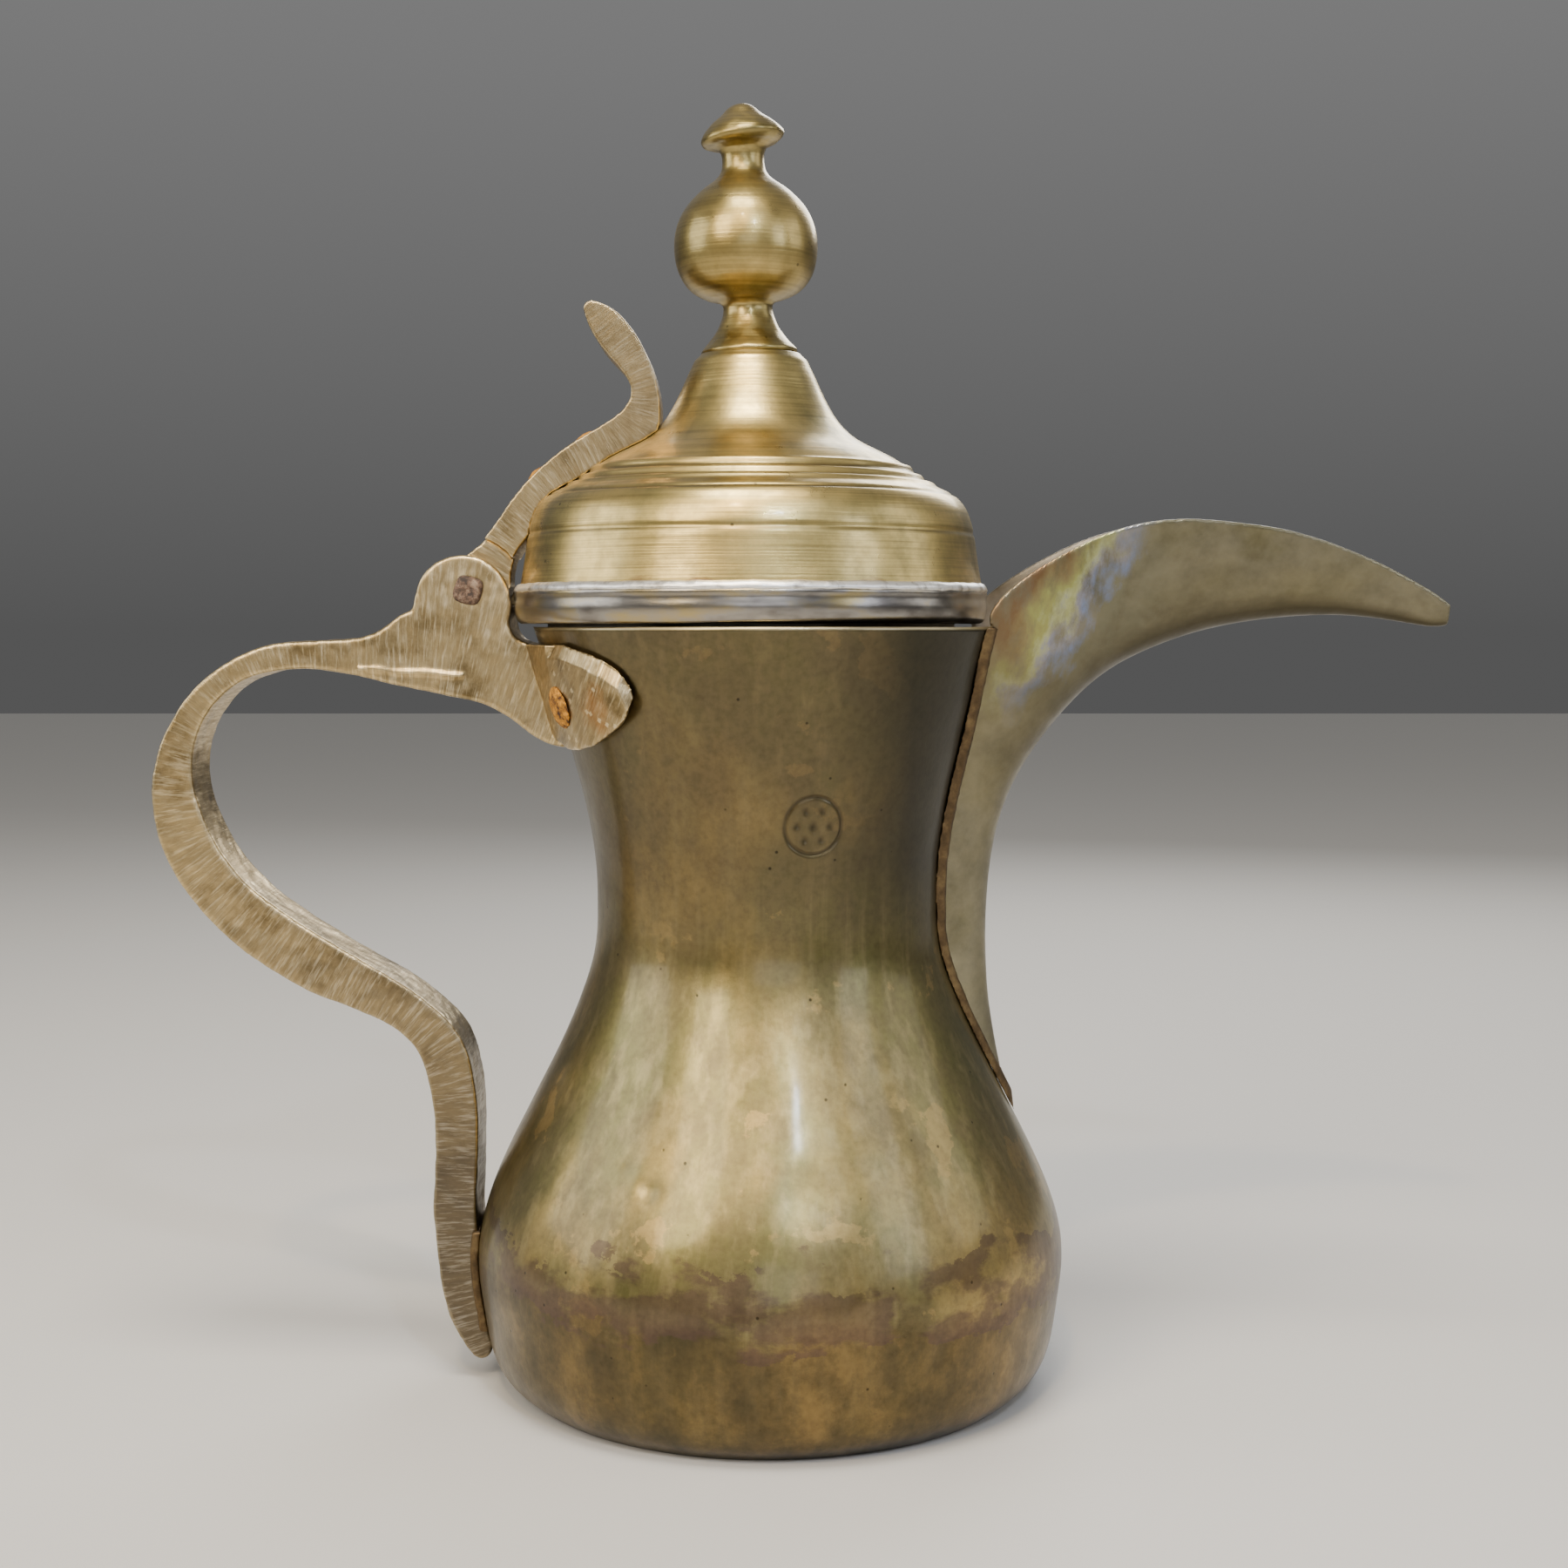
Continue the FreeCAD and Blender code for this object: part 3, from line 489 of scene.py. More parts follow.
def filed_bronze():
    """Cast bell-metal brass dressed with a coarse file: short strokes straight across the bar,
    golden where cleaned and grey-brown in the casting skin low down. Strokes and edges are
    lightened partly as file marks and wear, partly as painted glints and highlights; the lever's
    upper part is darkened as painted shade.
    The strokes are drawn about twice as wide as a file's teeth, so that they show."""
    material, tree, shader, place = new_material("filed_bronze", 1.0, 0.4)
    hue = colours()
    height = add(tree, "SeparateXYZ", {"Vector": place}).outputs["Z"]
    run = add(tree, "Attribute", attribute_name="strap").outputs["Vector"]
    strokes = pattern(tree, run, 0.55, (1, 11, 11), 4, 0.62)
    coarse = pattern(tree, run, 1.1, (1, 7, 7), 6, 0.7)
    skin = pattern(tree, place, 12, detail=6, rough=0.65)
    # Partly painted glint: the file strokes are lightened as fresh file marks and as the glints that they
    # catch.
    bright = shade(tree, (strokes, (0.50, 0.0), (0.66, 0.45)))
    foot = add(tree, "MapRange", {"Value": height, "From Min": 0.05, "From Max": 0.12,
                                  "To Min": 0.85, "To Max": 0.0}).outputs[0]
    # Painted shade: the lever's upper part is darkened.
    lever_painted_shade = add(tree, "MapRange", {"Value": height, "From Min": 0.198, "From Max": 0.226,
                                  "To Max": 0.5}).outputs[0]
    # Rust weeps from the near wing's rivet.
    away = add(tree, "VectorMath", {0: place, 1: (-0.043, -0.041, 0.158)}, operation="DISTANCE")
    weep = sum_heights(tree, (away.outputs["Value"], 1.0), (pattern(tree, place, 4, detail=5), 0.006))
    rusted = add(tree, "MapRange", {"Value": weep, "From Min": 0.0085, "From Max": 0.0125,
                                    "To Min": 0.7, "To Max": 0.0}).outputs[0]
    # Partly painted highlight: sharp edges are lightened as wear and as the highlight that they catch.
    edge = add(tree, "NewGeometry").outputs["Pointiness"]
    base = layered(
        tree, (skin, (0.32, "#7d6b48"), (0.5, hue.bronze), (0.68, "#bda678")),
        (0.32, (coarse, (0.38, "#574a33"), (0.56, 1.0)), "MULTIPLY"),
        (bright, "#f6e3b8"),
        (foot, layered(tree, hue.bronze_dark, (bright, "#aaa498"))),
        (lever_painted_shade, "#76664a"),
        (rusted, "#a5661a"),
        ((edge, (0.52, 0.0), (0.58, 0.6)), "#f2dfb2"))
    dress(tree, shader, base, (strokes, 0.05), (coarse, 0.03), (skin, 0.16),
          roughness=(coarse, (0.3, 0.42), (0.7, 0.27)))
    return material


def forged_iron(name, dark, middle, bright):
    """Hand-forged iron, rusted through its scale: a dry crust with dark pits."""
    material, tree, shader, place = new_material(name, 0.1, 0.8)
    crust = pattern(tree, place, 1.7, detail=8, rough=0.7)
    base = layered(tree, (crust, (0.38, dark), (0.5, middle), (0.62, bright)))
    dress(tree, shader, base, (crust, 0.5))
    return material


def rusty_iron():
    """The rivets, orange with wet rust."""
    return forged_iron("rusted_iron", "#3a1f10", colours().rust, "#d8962f")


def brown_iron():
    """The hinge pin, rubbed brown."""
    return forged_iron("brown_iron", "#3a2f28", "#6e5646", "#94806c")


def brown_braze():
    """Brazing spelter run into the corner and left rough, reddish brown with oxide."""
    material, tree, shader, place = new_material("brown_braze", 0.85, 0.5)
    crust = pattern(tree, place, 4, detail=6, rough=0.65)
    base = layered(tree, (crust, (0.3, "#3c3222"), (0.5, "#5e4c34"), (0.7, "#7d6a48")))
    dress(tree, shader, base, (crust, 0.25))
    return material


def white_solder():
    """Soft tin solder, pale and lumpy."""
    material, tree, shader, place = new_material("tin_solder", 0.9, 0.35)
    crust = pattern(tree, place, 3, detail=5)
    base = layered(tree, (crust, (0.3, "#a8a298"), (0.5, "#efece6")))
    dress(tree, shader, base, (crust, 0.2))
    return material


MAKERS = {"body": body_brass, "tinning": tinned_brass, "spout": spout_brass, "lid": lid_brass,
          "band": band_brass, "bronze": filed_bronze, "iron": rusty_iron, "pin": brown_iron,
          "braze": brown_braze, "solder": white_solder}
MATERIALS = {}


def material(name):
    """Each finish is made once."""
    if name not in MATERIALS:
        MATERIALS[name] = MAKERS[name]()
    return MATERIALS[name]


def refinish(node, finish):
    """A CAD node keeps its own shape and gets a finish."""
    slots = frame["nodes"][node].data.materials
    slots.clear()
    slots.append(material(finish))


# --- body --------------------------------------------------------------------

# The body's outer profile, radius and height in millimetres.
BODY_LINE = [
    (59.2, 0.0), (64.2, 4.2), (68.3, 17.5), (69.6, 31.0), (67.0, 44.0), (60.0, 59.7), (51.6, 76.5),
    (44.2, 93.5), (41.3, 104.0), (40.8, 112.0), (41.3, 123.5), (44.0, 139.0), (48.3, 155.0),
    (52.4, 169.5), (54.1, 175.0), (55.4, 178.6),
]
# Its turned-in foot and the floor inside it; the pour window's width, lowest and highest points,
# and how far along x it is cut.
FOOT_RADIUS, FOOT_LIP, FLOOR_HEIGHT = 57.5, 1.7, 2.6
WINDOW_WIDTH, WINDOW_LOW, WINDOW_HIGH, WINDOW_FROM, WINDOW_TO = 26.0, 122.0, 170.0, 20.0, 70.0


def window_cutter():
    """A block with a round bottom that cuts the pour window through the neck's wall."""
    half = WINDOW_WIDTH / 2
    shoulder = WINDOW_LOW + half
    arc = [(half * math.cos(a), shoulder - half * math.sin(a))
           for a in (math.pi * i / 24 for i in range(25))]
    outline = arc + [(-half, WINDOW_HIGH), (half, WINDOW_HIGH)]
    build = bmesh.new()
    near = [build.verts.new((WINDOW_FROM * MM, y * MM, z * MM)) for y, z in outline]
    far = [build.verts.new((WINDOW_TO * MM, y * MM, z * MM)) for y, z in outline]
    build.faces.new(near)
    build.faces.new(far[::-1])
    for i in range(len(outline)):
        j = (i + 1) % len(outline)
        build.faces.new((near[i], far[i], far[j], near[j]))
    bmesh.ops.recalc_face_normals(build, faces=build.faces)
    mesh = bpy.data.meshes.new("window_cutter")
    build.to_mesh(mesh)
    build.free()
    cutter = bpy.data.objects.new("window_cutter", mesh)
    bpy.context.scene.collection.objects.link(cutter)
    return cutter


# Dents: centre, radius and depth, in millimetres.
DENTS = [((-25.9, -55.3, 57.5), 3.4, 0.5), ((-31, -50.4, 61.5), 2.2, 0.3), ((37, -58.2, 22.9), 4.5, 0.5),
         ((17.5, -47.7, 164), 2.2, 0.35), ((10.7, -60.1, 57.6), 11, 0.35), ((-8, -66, 40), 14, 0.5),
         ((24, -64, 30), 10, 0.45), ((-48, -45, 40), 12, 0.4)]
# The punch mark: a ring with seven dots, and the room round it that is meshed finer.
MARK_TURN, MARK_HEIGHT, MARK_RADIUS, MARK_DEPTH = math.atan2(-42.0, 9.8), 135.3, 6.4, 0.4
DOT_RING, DOT_COUNT, MARK_ROOM, MARK_STEP = 3.7, 6, 9, 0.3


def punched(point):
    """The ring-and-dot punch mark at a point, from 0 off it to 1 at its deepest."""
    across = (math.atan2(point.y, point.x) - MARK_TURN) * math.hypot(point.x, point.y)
    up = point.z - MARK_HEIGHT
    reach = math.hypot(across, up)
    if reach > MARK_RADIUS + 1.5:
        return 0.0
    depth = math.exp(-((reach - MARK_RADIUS) / 0.42) ** 2) + math.exp(-(reach / 0.9) ** 2)
    for k in range(DOT_COUNT):
        turn = 2 * math.pi * k / DOT_COUNT
        gap = math.hypot(across - DOT_RING * math.cos(turn), up - DOT_RING * math.sin(turn))
        depth += math.exp(-(gap / 0.75) ** 2)
    return min(depth, 1.0)


def body_height_field(point):
    """Old dents, the slow waves of hammered sheet and the punch mark."""
    depth = sizes().dent_depth / MM
    height = depth * waves(point, 24, 3.0) + 0.35 * depth * waves(point, 9, 8.0)
    for place, radius, fall in DENTS:
        near = (point - Vector(place)).length / radius
        if near < 1:
            height -= fall * (1 - near * near) ** 2
    return height - MARK_DEPTH * punched(point)


class DALLAH_OT_body(bpy.types.Operator):
    """The hammered sheet body, outside and in, with its pour window"""
    bl_idname = "dallah.body"
    bl_label = "Body"

    def execute(self, context):
        sheet = sizes().sheet / MM
        coarse = smooth_curve(BODY_LINE, 1.2)
        low, high = MARK_HEIGHT - MARK_ROOM, MARK_HEIGHT + MARK_ROOM
        fine = [p for p in smooth_curve(BODY_LINE, MARK_STEP) if low <= p[1] <= high]
        outer = [p for p in coarse if p[1] < low] + fine + [p for p in coarse if p[1] > high]
        inner = inward(coarse, sheet)
        inner[-1] = (coarse[-1][0] - sheet, coarse[-1][1])
        foot = [(FOOT_RADIUS, FOOT_LIP), (FOOT_RADIUS, 0.0), outer[0]]
        inside = [p for p in inner[::-1] if p[1] > FLOOR_HEIGHT]
        profile = joined(outer, inside, foot)
        steps = sizes().turns
        angles = {round(2 * math.pi * i / steps - math.pi, 6) for i in range(steps)}
        angles |= {round(MARK_TURN + math.radians(0.35 * i), 6) for i in range(-32, 33)}
        piece = lathe("body_sheet", profile, angles=sorted(angles))
        cutter = window_cutter()
        cut = piece.modifiers.new("window", "BOOLEAN")
        cut.operation = "DIFFERENCE"
        cut.solver = "EXACT"
        cut.object = cutter
        baked(piece)
        bpy.data.objects.remove(cutter)
        store(piece, "recess", [0.75 * punched(Vector(p)) for p in coordinates(piece)])
        displace(piece, body_height_field, hollow=True)
        finish_piece(piece, "pot", "body_brass", material("body"), "bowl", "neck")
        piece.data.materials.append(material("tinning"))
        for face in piece.data.polygons:
            centre, normal = face.center, face.normal
            if centre.x * normal.x + centre.y * normal.y < 0:
                face.material_index = 1
        return {"FINISHED"}


class DALLAH_OT_base(bpy.types.Operator):
    """The base sheet and the hidden braze rings keep their own shape and get a finish"""
    bl_idname = "dallah.base"
    bl_label = "Base"

    def execute(self, context):
        for node, finish in (("base_disc", "body"), ("base_braze", "braze"), ("waist_braze", "braze")):
            refinish(node, finish)
        return {"FINISHED"}


# --- beak --------------------------------------------------------------------

# The beak's tip: where its rounding starts and ends, its middle's height, and how far it rounds.
TIP_START, TIP_END, TIP_MIDDLE, TIP_ROUNDING = 154.0, 160.4, 181.6, 0.55


class DALLAH_OT_spout(bpy.types.Operator):
    """The open beak of folded sheet and the braze that holds it"""
    bl_idname = "dallah.spout"
    bl_label = "Beak"

    def execute(self, context):
        piece = worn_copy("spout", "beak_sheet", 0.4, 6)
        co = coordinates(piece)
        beyond = np.clip((co[:, 0] - TIP_START) / (TIP_END - TIP_START), 0, 1)
        co[:, 2] = TIP_MIDDLE + (co[:, 2] - TIP_MIDDLE) * np.sqrt(1 - TIP_ROUNDING * beyond ** 2)
        place_vertices(piece, co)
        displace(piece, lambda p: 0.14 * waves(p, 16, 5.0))
        finish_piece(piece, "pot", "spout_brass", material("spout"), "spout")
        piece.data.materials.append(material("tinning"))
        for face in piece.data.polygons:
            looks_inward = face.center.y * face.normal.y < -0.3 * abs(face.center.y)
            if looks_inward:
                face.material_index = 1
        seam = worn_copy("spout_solder", "beak_braze", 0.4, 14)
        displace(seam, lambda p: -0.1 + 0.15 * waves(p, 3.5, 2.0))
        finish_piece(seam, "pot", "braze", material("braze"), "spout_solder")
        return {"FINISHED"}


# --- castings ----------------------------------------------------------------

# Lines along the strap's middle, the lever's middle and the wings' upper edge: x and z in millimetres.
STRAP_LINE = [
    (-40, 160), (-56, 166), (-75, 171), (-98, 172), (-118, 170), (-132, 160), (-139, 144), (-137, 128),
    (-124, 112), (-104, 98), (-85, 87), (-76, 76), (-74, 56), (-74.5, 36), (-71, 14), (-68, 5),
]
LEVER_LINE = [(-70, 180), (-66, 192), (-57, 205), (-45, 215.5), (-31, 224), (-28.5, 232), (-32.5, 242),
              (-41, 253)]
WING_EDGE = [(-50.0, 174.6), (-47.0, 174.6), (-40.6, 172.6), (-33.2, 168.4), (-30.5, 163.4)]
# A wing's bevel: where it starts along x, off the axis and in height, its edge and its slope.
WING_BACK, WING_REACH, WING_LOW, WING_LIP, WING_SLOPE = -50, 50, 158, 0.9, 0.75
# The burr on the strap's near shoulder: its ends along x, a point on it (x, z), its slope and rise.
BURR_ENDS, BURR_ROOT, BURR_SLOPE, BURR_HEIGHT = (-96, -71), (-93.6, 169.0), 0.07, 0.8
# The hinge pin's axis, where its heads start, their size and turn, and the shank's size.
PIN_X, PIN_Z = (v / MM for v in frame["record"]["behaviour"]["joints"][0]["pos_m"][::2])
HEAD_START, HEAD_SIZE, HEAD_TURN, SHANK_SIZE = 8.55, 0.96, 0.3, 0.82


def mark_run(piece, line):
    """Stores along, across and depth for each vertex, so that file strokes lie across the bar."""
    spots = np.array(smooth_curve(line, 1.0))
    along = np.concatenate([[0], np.cumsum(np.linalg.norm(np.diff(spots, axis=0), axis=1))])
    heading = np.gradient(spots, axis=0)
    heading /= np.linalg.norm(heading, axis=1)[:, None]
    co = coordinates(piece)
    out = np.zeros((len(co), 3), np.float32)
    for rows in np.array_split(np.arange(len(co)), len(co) // 20000 + 1):
        flat = co[rows][:, [0, 2]]
        best = ((flat[:, None, :] - spots[None]) ** 2).sum(2).argmin(1)
        offset, way = flat - spots[best], heading[best]
        out[rows, 0] = along[best] + (offset * way).sum(1)
        out[rows, 1] = offset[:, 0] * way[:, 1] - offset[:, 1] * way[:, 0]
        out[rows, 2] = co[rows, 1]
    layer = piece.data.attributes.new("strap", "FLOAT_VECTOR", "POINT")
    layer.data.foreach_set("vector", (out * MM).ravel())


def filed(point):
    """Unevenness that the file leaves, in millimetres."""
    depth = sizes().file_depth / MM
    return depth * waves(point, 7, 1.0) + 0.5 * depth * waves(point, 2.6, 4.0)


def handle_field(point):
    """The file's unevenness, and the burr left along the strap's near shoulder."""
    height = filed(point)
    if BURR_ENDS[0] < point.x < BURR_ENDS[1] and point.y < -7.5:
        line = BURR_ROOT[1] - (point.x - BURR_ROOT[0]) * BURR_SLOPE + 0.5 * waves(point, 5, 2.0)
        burr = math.exp(-((point.z - line) / 0.5) ** 2) * (0.6 + 0.8 * waves(point, 3, 6.0))
        height += BURR_HEIGHT * burr
    return height


def bevel_wings(piece):
    """Files a facet along the upper edge of each wing, down towards the neck."""
    co = coordinates(piece)
    reach = np.hypot(co[:, 0], co[:, 1])
    below = np.interp(co[:, 0], *zip(*WING_EDGE)) - co[:, 2]
    radii, levels = zip(*BODY_LINE)
    limit = np.interp(co[:, 2], levels, radii) + WING_LIP + WING_SLOPE * np.maximum(below, 0)
    wing = (co[:, 0] > WING_BACK) & (reach > WING_REACH) & (co[:, 2] > WING_LOW)
    co[:, :2] *= np.where(wing, np.minimum(1, limit / reach), 1)[:, None]
    place_vertices(piece, co)


def square_heads(piece):
    """Hammers the hinge pin's heads nearly square, and leaves its shank free in the bores."""
    co = coordinates(piece)
    side, up = co[:, 0] - PIN_X, co[:, 2] - PIN_Z
    turned = np.arctan2(up, side) + HEAD_TURN
    squared = HEAD_SIZE / (np.cos(turned) ** 4 + np.sin(turned) ** 4) ** 0.25
    grow = np.where(np.abs(co[:, 1]) > HEAD_START, squared, SHANK_SIZE)
    co[:, 0] = PIN_X + side * grow
    co[:, 2] = PIN_Z + up * grow
    place_vertices(piece, co)


class DALLAH_OT_handle(bpy.types.Operator):
    """The cast handle with its ears and wings, and the solder at its foot"""
    bl_idname = "dallah.handle"
    bl_label = "Handle"

    def execute(self, context):
        piece = worn_copy("handle", "handle_casting", 0.45, 7)
        bevel_wings(piece)
        displace(piece, handle_field)
        mark_run(piece, STRAP_LINE)
        finish_piece(piece, "pot", "handle_bronze", material("bronze"), "handle")
        foot = worn_copy("foot_solder", "foot_braze", 0.4, 10)
        displace(foot, lambda p: 0.2 * waves(p, 3.0, 6.0))
        finish_piece(foot, "pot", "braze", material("braze"), "foot_solder")
        return {"FINISHED"}


class DALLAH_OT_lever(bpy.types.Operator):
    """The thumb lever"""
    bl_idname = "dallah.lever"
    bl_label = "Thumb lever"

    def execute(self, context):
        piece = worn_copy("thumb_lever", "lever_casting", 0.4, 6)
        displace(piece, lambda p: 0.6 * filed(p))
        mark_run(piece, LEVER_LINE)
        finish_piece(piece, "lid", "handle_bronze", material("bronze"), "thumb_lever")
        return {"FINISHED"}


class DALLAH_OT_iron(bpy.types.Operator):
    """The iron rivets and the hinge pin"""
    bl_idname = "dallah.iron"
    bl_label = "Iron rivets and pin"

    def execute(self, context):
        for node, body, voxel, finish in (("handle_rivet_near", "pot", 0.25, "iron"),
                                          ("handle_rivet_far", "pot", 0.25, "iron"),
                                          ("hinge_pin", "pot", 0.25, "pin"),
                                          ("lever_rivet_lower", "lid", 0.2, "iron"),
                                          ("lever_rivet_upper", "lid", 0.2, "iron")):
            piece = worn_copy(node, node + "_forged", voxel, 4)
            if node == "hinge_pin":
                square_heads(piece)
            displace(piece, lambda p: 0.2 * waves(p, 2.2, 9.0))
            finish_piece(piece, body, "iron", material(finish), node)
        return {"FINISHED"}


# --- lid ---------------------------------------------------------------------

# The dome's outer profile, radius and height in millimetres.
DOME_LINE = [
    (54.2, 180.4), (54.2, 187.2), (53.7, 190.3), (52.9, 195.2), (52.2, 200.0), (51.3, 203.6), (49.8, 206.8),
    (47.2, 209.3), (42.4, 211.6), (38.5, 214.4), (34.8, 217.0), (30.4, 219.4), (25.4, 222.0), (21.2, 225.6),
    (18.6, 229.4), (16.0, 234.6), (13.9, 239.0), (12.4, 241.2), (11.6, 242.2),
]
# Turned details: radius, half width and rise of each ring as a share of the ridge height.
DOME_RINGS = [(42.6, 0.8, 1.0), (39.9, 0.6, 0.8), (37.2, 0.7, 1.0), (13.0, 0.7, 0.5)]
DOME_GROOVES = [(52.15, 0.12, 0.5), (47.4, 0.45, 0.6), (41.3, 0.5, 0.5), (38.5, 0.5, 0.5)]
# Its inner edge at the mouth, its ceiling, the finial's seat, the tang's hole, the inside's least
# radius, and the height above which the grooves get painted shade.
DOME_MOUTH, DOME_CEILING, DOME_SEAT, TANG_HOLE, DOME_EYE = (53.0, 180.4), 241.0, 242.2, 2.6, 9.6
GROOVES_FROM = 193


def ringed(points):
    """Raises the turned ridges and sinks the grooves along the dome's profile."""
    height = sizes().ridge_height / MM
    out = []
    for i, (r, z) in enumerate(points):
        before, after = points[max(i - 1, 0)], points[min(i + 1, len(points) - 1)]
        dr, dz = after[0] - before[0], after[1] - before[1]
        size = math.hypot(dr, dz)
        lift = 0.0
        for centre, half, rise in DOME_RINGS:
            lift += rise * height * math.exp(-((r - centre) / half) ** 2)
        for centre, half, fall in DOME_GROOVES:
            lift -= fall * height * math.exp(-((r - centre) / half) ** 2)
        out.append((r + dz / size * lift, z - dr / size * lift))
    return out


def painted_groove_shade(radius, height):
    """Painted shade in the turned grooves, from 0 to 1."""
    depth = sum(math.exp(-((radius - centre) / half) ** 2) for centre, half, fall in DOME_GROOVES)
    return min(0.75, 0.75 * depth) if height > GROOVES_FROM else 0.0


class DALLAH_OT_dome(bpy.types.Operator):
    """The spun dome with its turned ridges"""
    bl_idname = "dallah.dome"
    bl_label = "Dome"

    def execute(self, context):
        offset = sizes().lid_offset / MM
        outer = ringed(smooth_curve(DOME_LINE, 0.35))
        inner = inward(smooth_curve(DOME_LINE, 1.5), sizes().sheet / MM)
        inner = [(r, min(z, DOME_CEILING)) for r, z in inner if r > DOME_EYE]
        inner[0] = DOME_MOUTH
        top = [outer[-1], (TANG_HOLE, DOME_SEAT), (TANG_HOLE, DOME_CEILING)]
        piece = lathe("dome_sheet", joined(outer, top, inner[::-1]), offset)
        store(piece, "groove_painted_shade", [painted_groove_shade(math.hypot(x - offset, y), z)
                                for x, y, z in coordinates(piece)])
        displace(piece, lambda p: 0.10 * waves(p, 20, 7.0), hollow=True)
        finish_piece(piece, "lid", "lid_brass", material("lid"), "lid_dome")
        return {"FINISHED"}


class DALLAH_OT_band(bpy.types.Operator):
    """The band round the dome's foot, its solder and the collar below"""
    bl_idname = "dallah.band"
    bl_label = "Band"

    def execute(self, context):
        offset = sizes().lid_offset / MM
        wall = [(52.9, 180.3), (52.9, 179.4), (53.9, 179.45), (54.8, 180.2), (55.3, 181.6), (55.45, 183.4),
                (55.3, 185.4), (55.35, 186.6), (55.1, 186.9), (54.3, 186.9)]
        outer = smooth_curve(wall[1:], 0.4)
        profile = joined([wall[0]], outer, [(54.25, 180.4)])
        band = lathe("lid_band_strip", profile, offset)
        displace(band, lambda p: 0.10 * waves(p, 13, 4.0))
        finish_piece(band, "lid", "band_brass", material("band"), "lid_band")
        bead = [(54.0, 186.6), (55.3, 186.6), (55.5, 187.1), (55.2, 187.8), (54.6, 188.4), (54.0, 188.6),
                (53.8, 187.4)]
        solder = lathe("lid_solder_bead", bead, offset)
        displace(solder, lambda p: 0.25 * waves(p, 4.5, 1.0) + 0.12 * waves(p, 1.6, 3.0))
        finish_piece(solder, "lid", "tin_solder", material("solder"), "lid_solder")
        refinish("lid_collar", "tinning")
        return {"FINISHED"}


# The finial's profile: its seat, its foot, its ball and neck, and its cap.
FINIAL_RUNS = [
    [(11.2, 242.2), (11.25, 242.9)],
    [(11.1, 243.2), (9.9, 244.5), (8.2, 246.5), (6.9, 248.8), (5.9, 251.4), (5.9, 253.6), (6.8, 254.4)],
    [(8.6, 254.9), (10.6, 255.6), (13.8, 257.9), (16.1, 262.2), (16.7, 267.4), (16.2, 271.0), (15.0, 274.2),
     (12.9, 277.2), (9.4, 280.4), (6.4, 282.7), (5.4, 284.0), (4.9, 286.2), (5.1, 288.4), (5.6, 289.5)],
    [(7.4, 290.2), (9.0, 290.8), (9.65, 291.8), (9.0, 293.4), (6.7, 295.6), (4.2, 297.7), (2.2, 299.3),
     (0.0, 299.8)],
]
# Its shift and lean off the lid's axis, its steps round, and the heights of foot and cap.
FINIAL_SHIFT, FINIAL_LEAN, FINIAL_STEPS, FOOT_TOP, CAP_FOOT, CAP_TOP = -0.4, -1.8, 128, 255, 288, 299.8


def worn_finial(point):
    """Slow waves all over, and knocks on the cap's brim and the foot."""
    knocks = 0.12 * waves(point, 2.5, 5.0) * (point.z > CAP_FOOT + 1 or point.z < FOOT_TOP)
    return 0.08 * waves(point, 5, 2.0) + knocks


class DALLAH_OT_finial(bpy.types.Operator):
    """The turned finial and the washer under the dome"""
    bl_idname = "dallah.finial"
    bl_label = "Finial"

    def execute(self, context):
        tang = [(0.0, 237.9), (2.6, 238.3), (3.4, 239.7), (2.1, 239.8), (2.1, 242.2)]
        knob = joined(tang, FINIAL_RUNS[0], *[smooth_curve(run, 0.35) for run in FINIAL_RUNS[1:]])
        piece = lathe("finial_turned", knob, sizes().lid_offset / MM + FINIAL_SHIFT, closed=False,
                      angles=[2 * math.pi * i / FINIAL_STEPS for i in range(FINIAL_STEPS)],
                      lean=FINIAL_LEAN, pivot_z=DOME_SEAT)
        co = coordinates(piece)
        droop = np.clip((co[:, 2] - CAP_FOOT) / 3, 0, 1) * np.clip((CAP_TOP - co[:, 2]) / 8, 0, 1)
        co[:, 2] += 0.1 * droop * (co[:, 0] + 7)
        place_vertices(piece, co)
        displace(piece, worn_finial)
        finish_piece(piece, "lid", "lid_brass", material("lid"), "finial")
        refinish("finial_rove", "lid")
        return {"FINISHED"}


# --- stage -------------------------------------------------------------------

# Softboxes: name, place, aim, width and height in metres, watts and colour.
SOFTBOXES = [
    ("key", (-0.55, -0.75, 0.75), (0, 0, 0.15), (0.4, 0.55), 6.3, "#fff0d8"),
    ("fill", (0.85, -0.6, 0.5), (0, 0, 0.15), (0.35, 0.5), 1.8, "#e4ecff"),
    ("left", (-1.1, -0.15, 0.55), (0, 0, 0.1), (0.7, 0.7), 4.5, "#ffffff"),
    ("right", (1.1, -0.05, 0.6), (0, 0, 0.1), (0.5, 0.7), 1.6, "#ffffff"),
    ("low", (0.12, -1.5, 0.42), (0, 0, 0.1), (0.8, 0.35), 2, "#eef2ff"),
    ("front", (0.05, -1.15, 1.35), (0, 0, 0.1), (1.7, 0.5), 5, "#ffffff"),
    ("top", (-0.04, -0.24, 0.86), (0, 0, 0.2), (0.3, 0.25), 5, "#fff8ec"),
    ("rim", (0.3, 0.9, 0.7), (0, 0, 0.18), (0.6, 0.4), 5, "#ffffff"),
    ("warm_spot", (-0.12, -0.75, 0.95), (0, 0, 0.1), (0.05, 0.05), 3.0, "#ffe0b0"),
    ("cool_spot", (0.22, -0.8, 0.75), (0, 0, 0.1), (0.05, 0.05), 2.4, "#d8e6ff"),
]
FLOOR_REACH = 4.0
# The camera: place in metres, tilt down in degrees, lens and sensor in millimetres.
CAMERA_PLACE, CAMERA_DOWN, CAMERA_LENS, CAMERA_SENSOR = (0.00331, -0.51556, 0.17859), 4.118, 50.0, 36.0


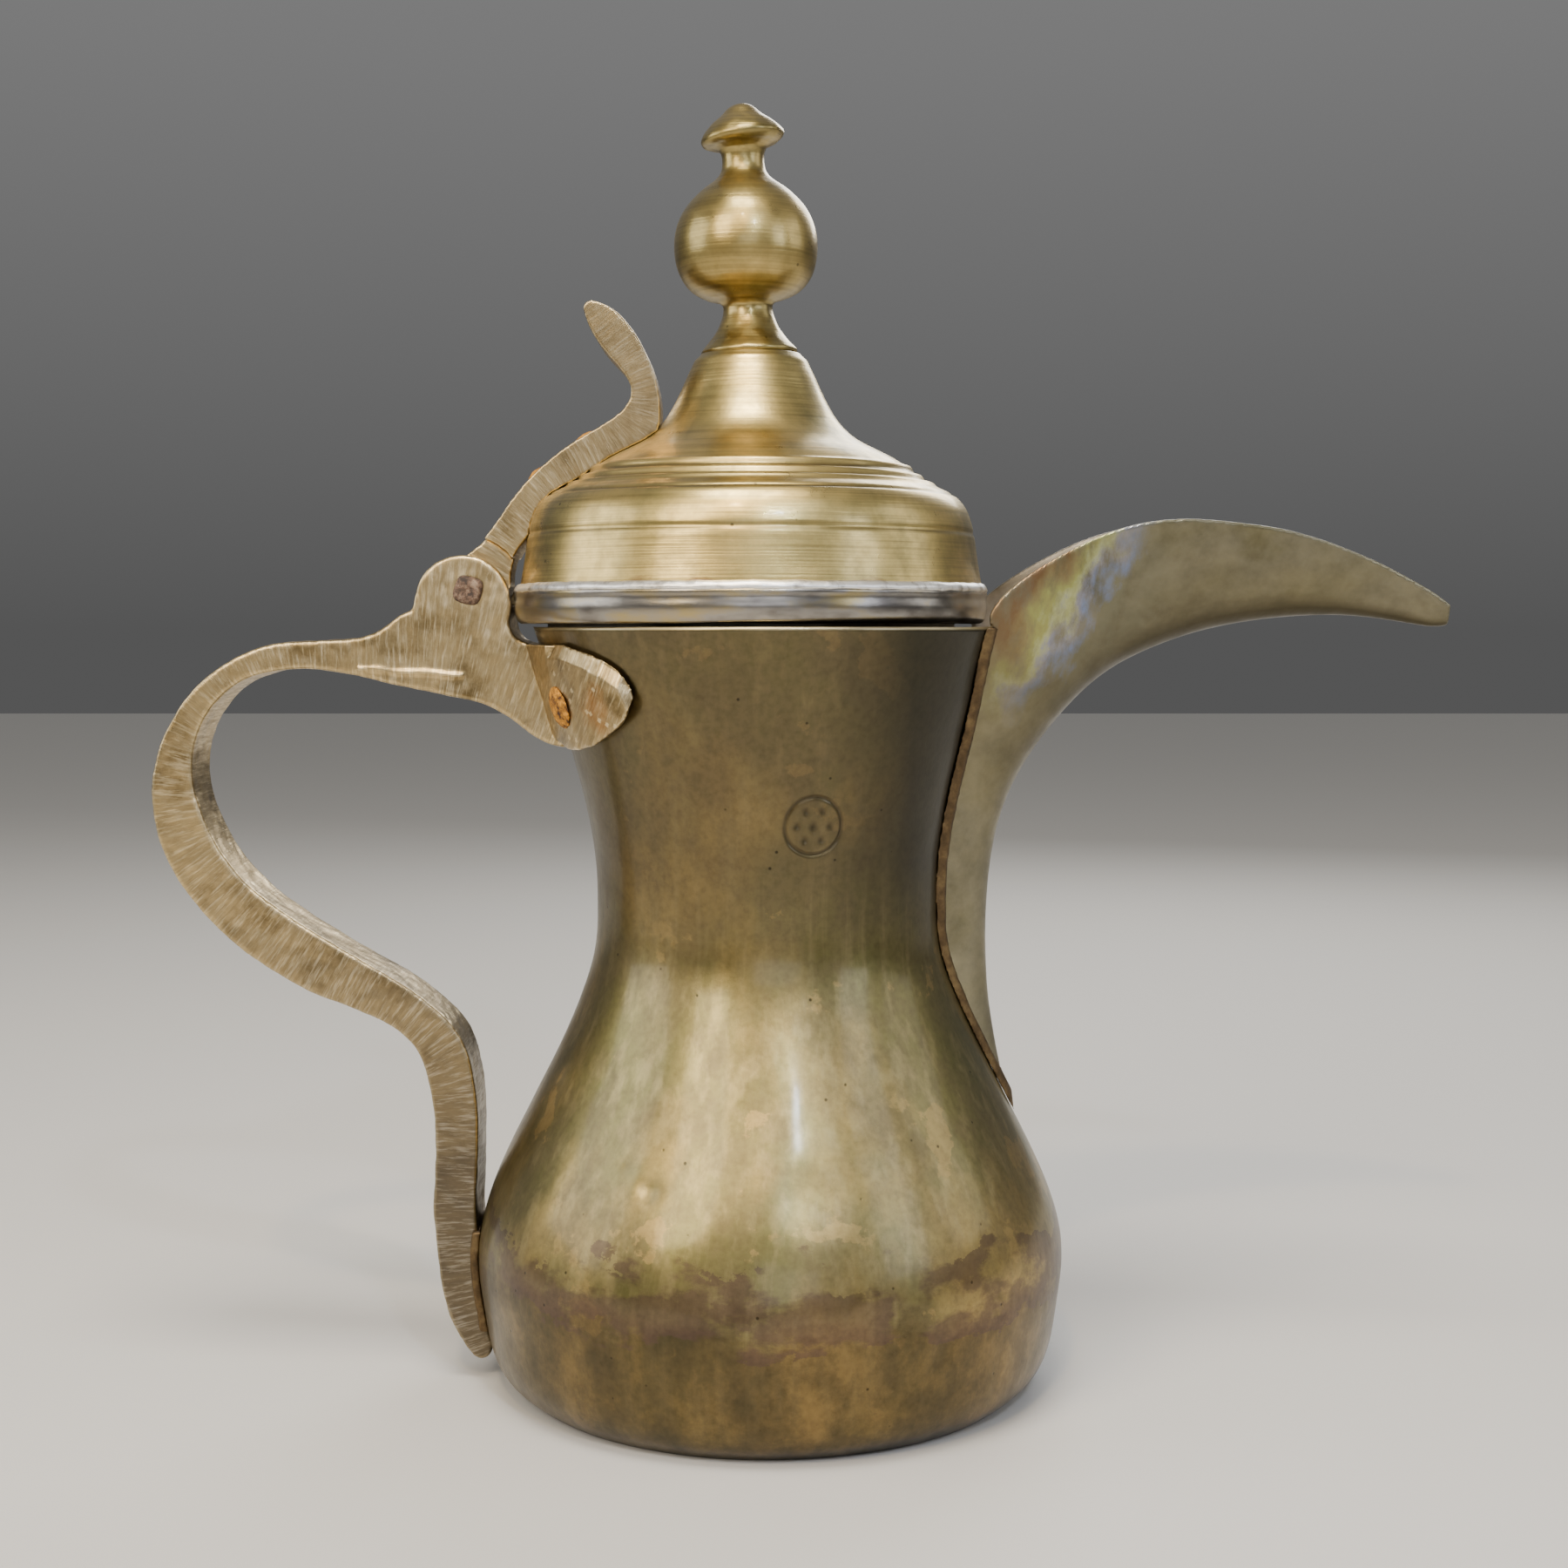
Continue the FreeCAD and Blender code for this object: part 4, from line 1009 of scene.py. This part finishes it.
def softbox(name, place, aim, size, power, colour):
    """A soft rectangular lamp that faces a point."""
    light = bpy.data.lights.new(name, "AREA")
    light.shape = "RECTANGLE"
    light.size, light.size_y = size
    light.energy = power
    light.color = linear(colour)[:3]
    lamp = bpy.data.objects.new(name, light)
    lamp.location = place
    lamp.rotation_mode = "QUATERNION"
    lamp.rotation_quaternion = (Vector(aim) - Vector(place)).to_track_quat("-Z", "Y")
    bpy.context.scene.collection.objects.link(lamp)


def studio_world():
    """A grey room that is lighter overhead."""
    world = bpy.data.worlds.new("studio")
    world.use_nodes = True
    tree = world.node_tree
    tree.nodes.clear()
    up = add(tree, "SeparateXYZ", {"Vector": add(tree, "TexCoord").outputs["Generated"]}).outputs["Z"]
    rise = add(tree, "MapRange", {"Value": up, "From Min": -0.3, "From Max": 1.0}).outputs[0]
    sky = shade(tree, (rise, (0.0, 0.16), (0.23, 0.16), (0.42, 0.32), (0.7, 0.5), (1.0, 0.5)))
    glow = add(tree, "Background", {"Color": sky, "Strength": 0.6}).outputs[0]
    add(tree, "OutputWorld", {"Surface": glow})
    return world


class DALLAH_OT_stage(bpy.types.Operator):
    """Plain floor, soft studio light and the camera"""
    bl_idname = "dallah.stage"
    bl_label = "Stage"

    def execute(self, context):
        mesh = bpy.data.meshes.new("floor")
        corners = [(x * FLOOR_REACH, y * FLOOR_REACH, 0) for x, y in ((-1, -1), (1, -1), (1, 1), (-1, 1))]
        mesh.from_pydata(corners, [], [(0, 1, 2, 3)])
        floor = bpy.data.objects.new("floor", mesh)
        context.scene.collection.objects.link(floor)
        paint = bpy.data.materials.new("floor_paint")
        paint.use_nodes = True
        shader = paint.node_tree.nodes["Principled BSDF"]
        shader.inputs["Base Color"].default_value = linear(colours().floor)
        shader.inputs["Roughness"].default_value = 0.7
        mesh.materials.append(paint)
        context.scene.world = studio_world()
        for box in SOFTBOXES:
            softbox(*box)
        lens = bpy.data.cameras.new("camera")
        lens.sensor_width = CAMERA_SENSOR
        lens.lens = CAMERA_LENS
        camera = bpy.data.objects.new("camera", lens)
        camera.location = CAMERA_PLACE
        camera.rotation_euler = (math.radians(90 - CAMERA_DOWN), 0, 0)
        context.scene.collection.objects.link(camera)
        context.scene.camera = camera
        return {"FINISHED"}


class DALLAH_PT_panel(bpy.types.Panel):
    """Lists the pieces in the order in which they are made"""
    bl_idname = "DALLAH_PT_panel"
    bl_label = "Brass dallah"
    bl_space_type = "VIEW_3D"
    bl_region_type = "UI"
    bl_category = "Dallah"

    def draw(self, context):
        for group in (context.scene.dallah_sizes, context.scene.dallah_colours):
            for name in group.bl_rna.properties.keys():
                if name not in ("rna_type", "name"):
                    self.layout.prop(group, name)
        for operator in OPERATORS:
            self.layout.operator(operator.bl_idname)


OPERATORS = (DALLAH_OT_stage, DALLAH_OT_body, DALLAH_OT_base, DALLAH_OT_spout, DALLAH_OT_handle,
             DALLAH_OT_lever, DALLAH_OT_iron, DALLAH_OT_dome, DALLAH_OT_band, DALLAH_OT_finial)
CLASSES = (DallahSizes, DallahColours) + OPERATORS + (DALLAH_PT_panel,)


def register():
    for item in CLASSES:
        bpy.utils.register_class(item)
    bpy.types.Scene.dallah_sizes = PointerProperty(type=DallahSizes)
    bpy.types.Scene.dallah_colours = PointerProperty(type=DallahColours)


def unregister():
    del bpy.types.Scene.dallah_colours
    del bpy.types.Scene.dallah_sizes
    for item in reversed(CLASSES):
        bpy.utils.unregister_class(item)


def main():
    register()
    for operator in OPERATORS:
        group, name = operator.bl_idname.split(".")
        getattr(getattr(bpy.ops, group), name)()


if __name__ == "__main__":
    main()
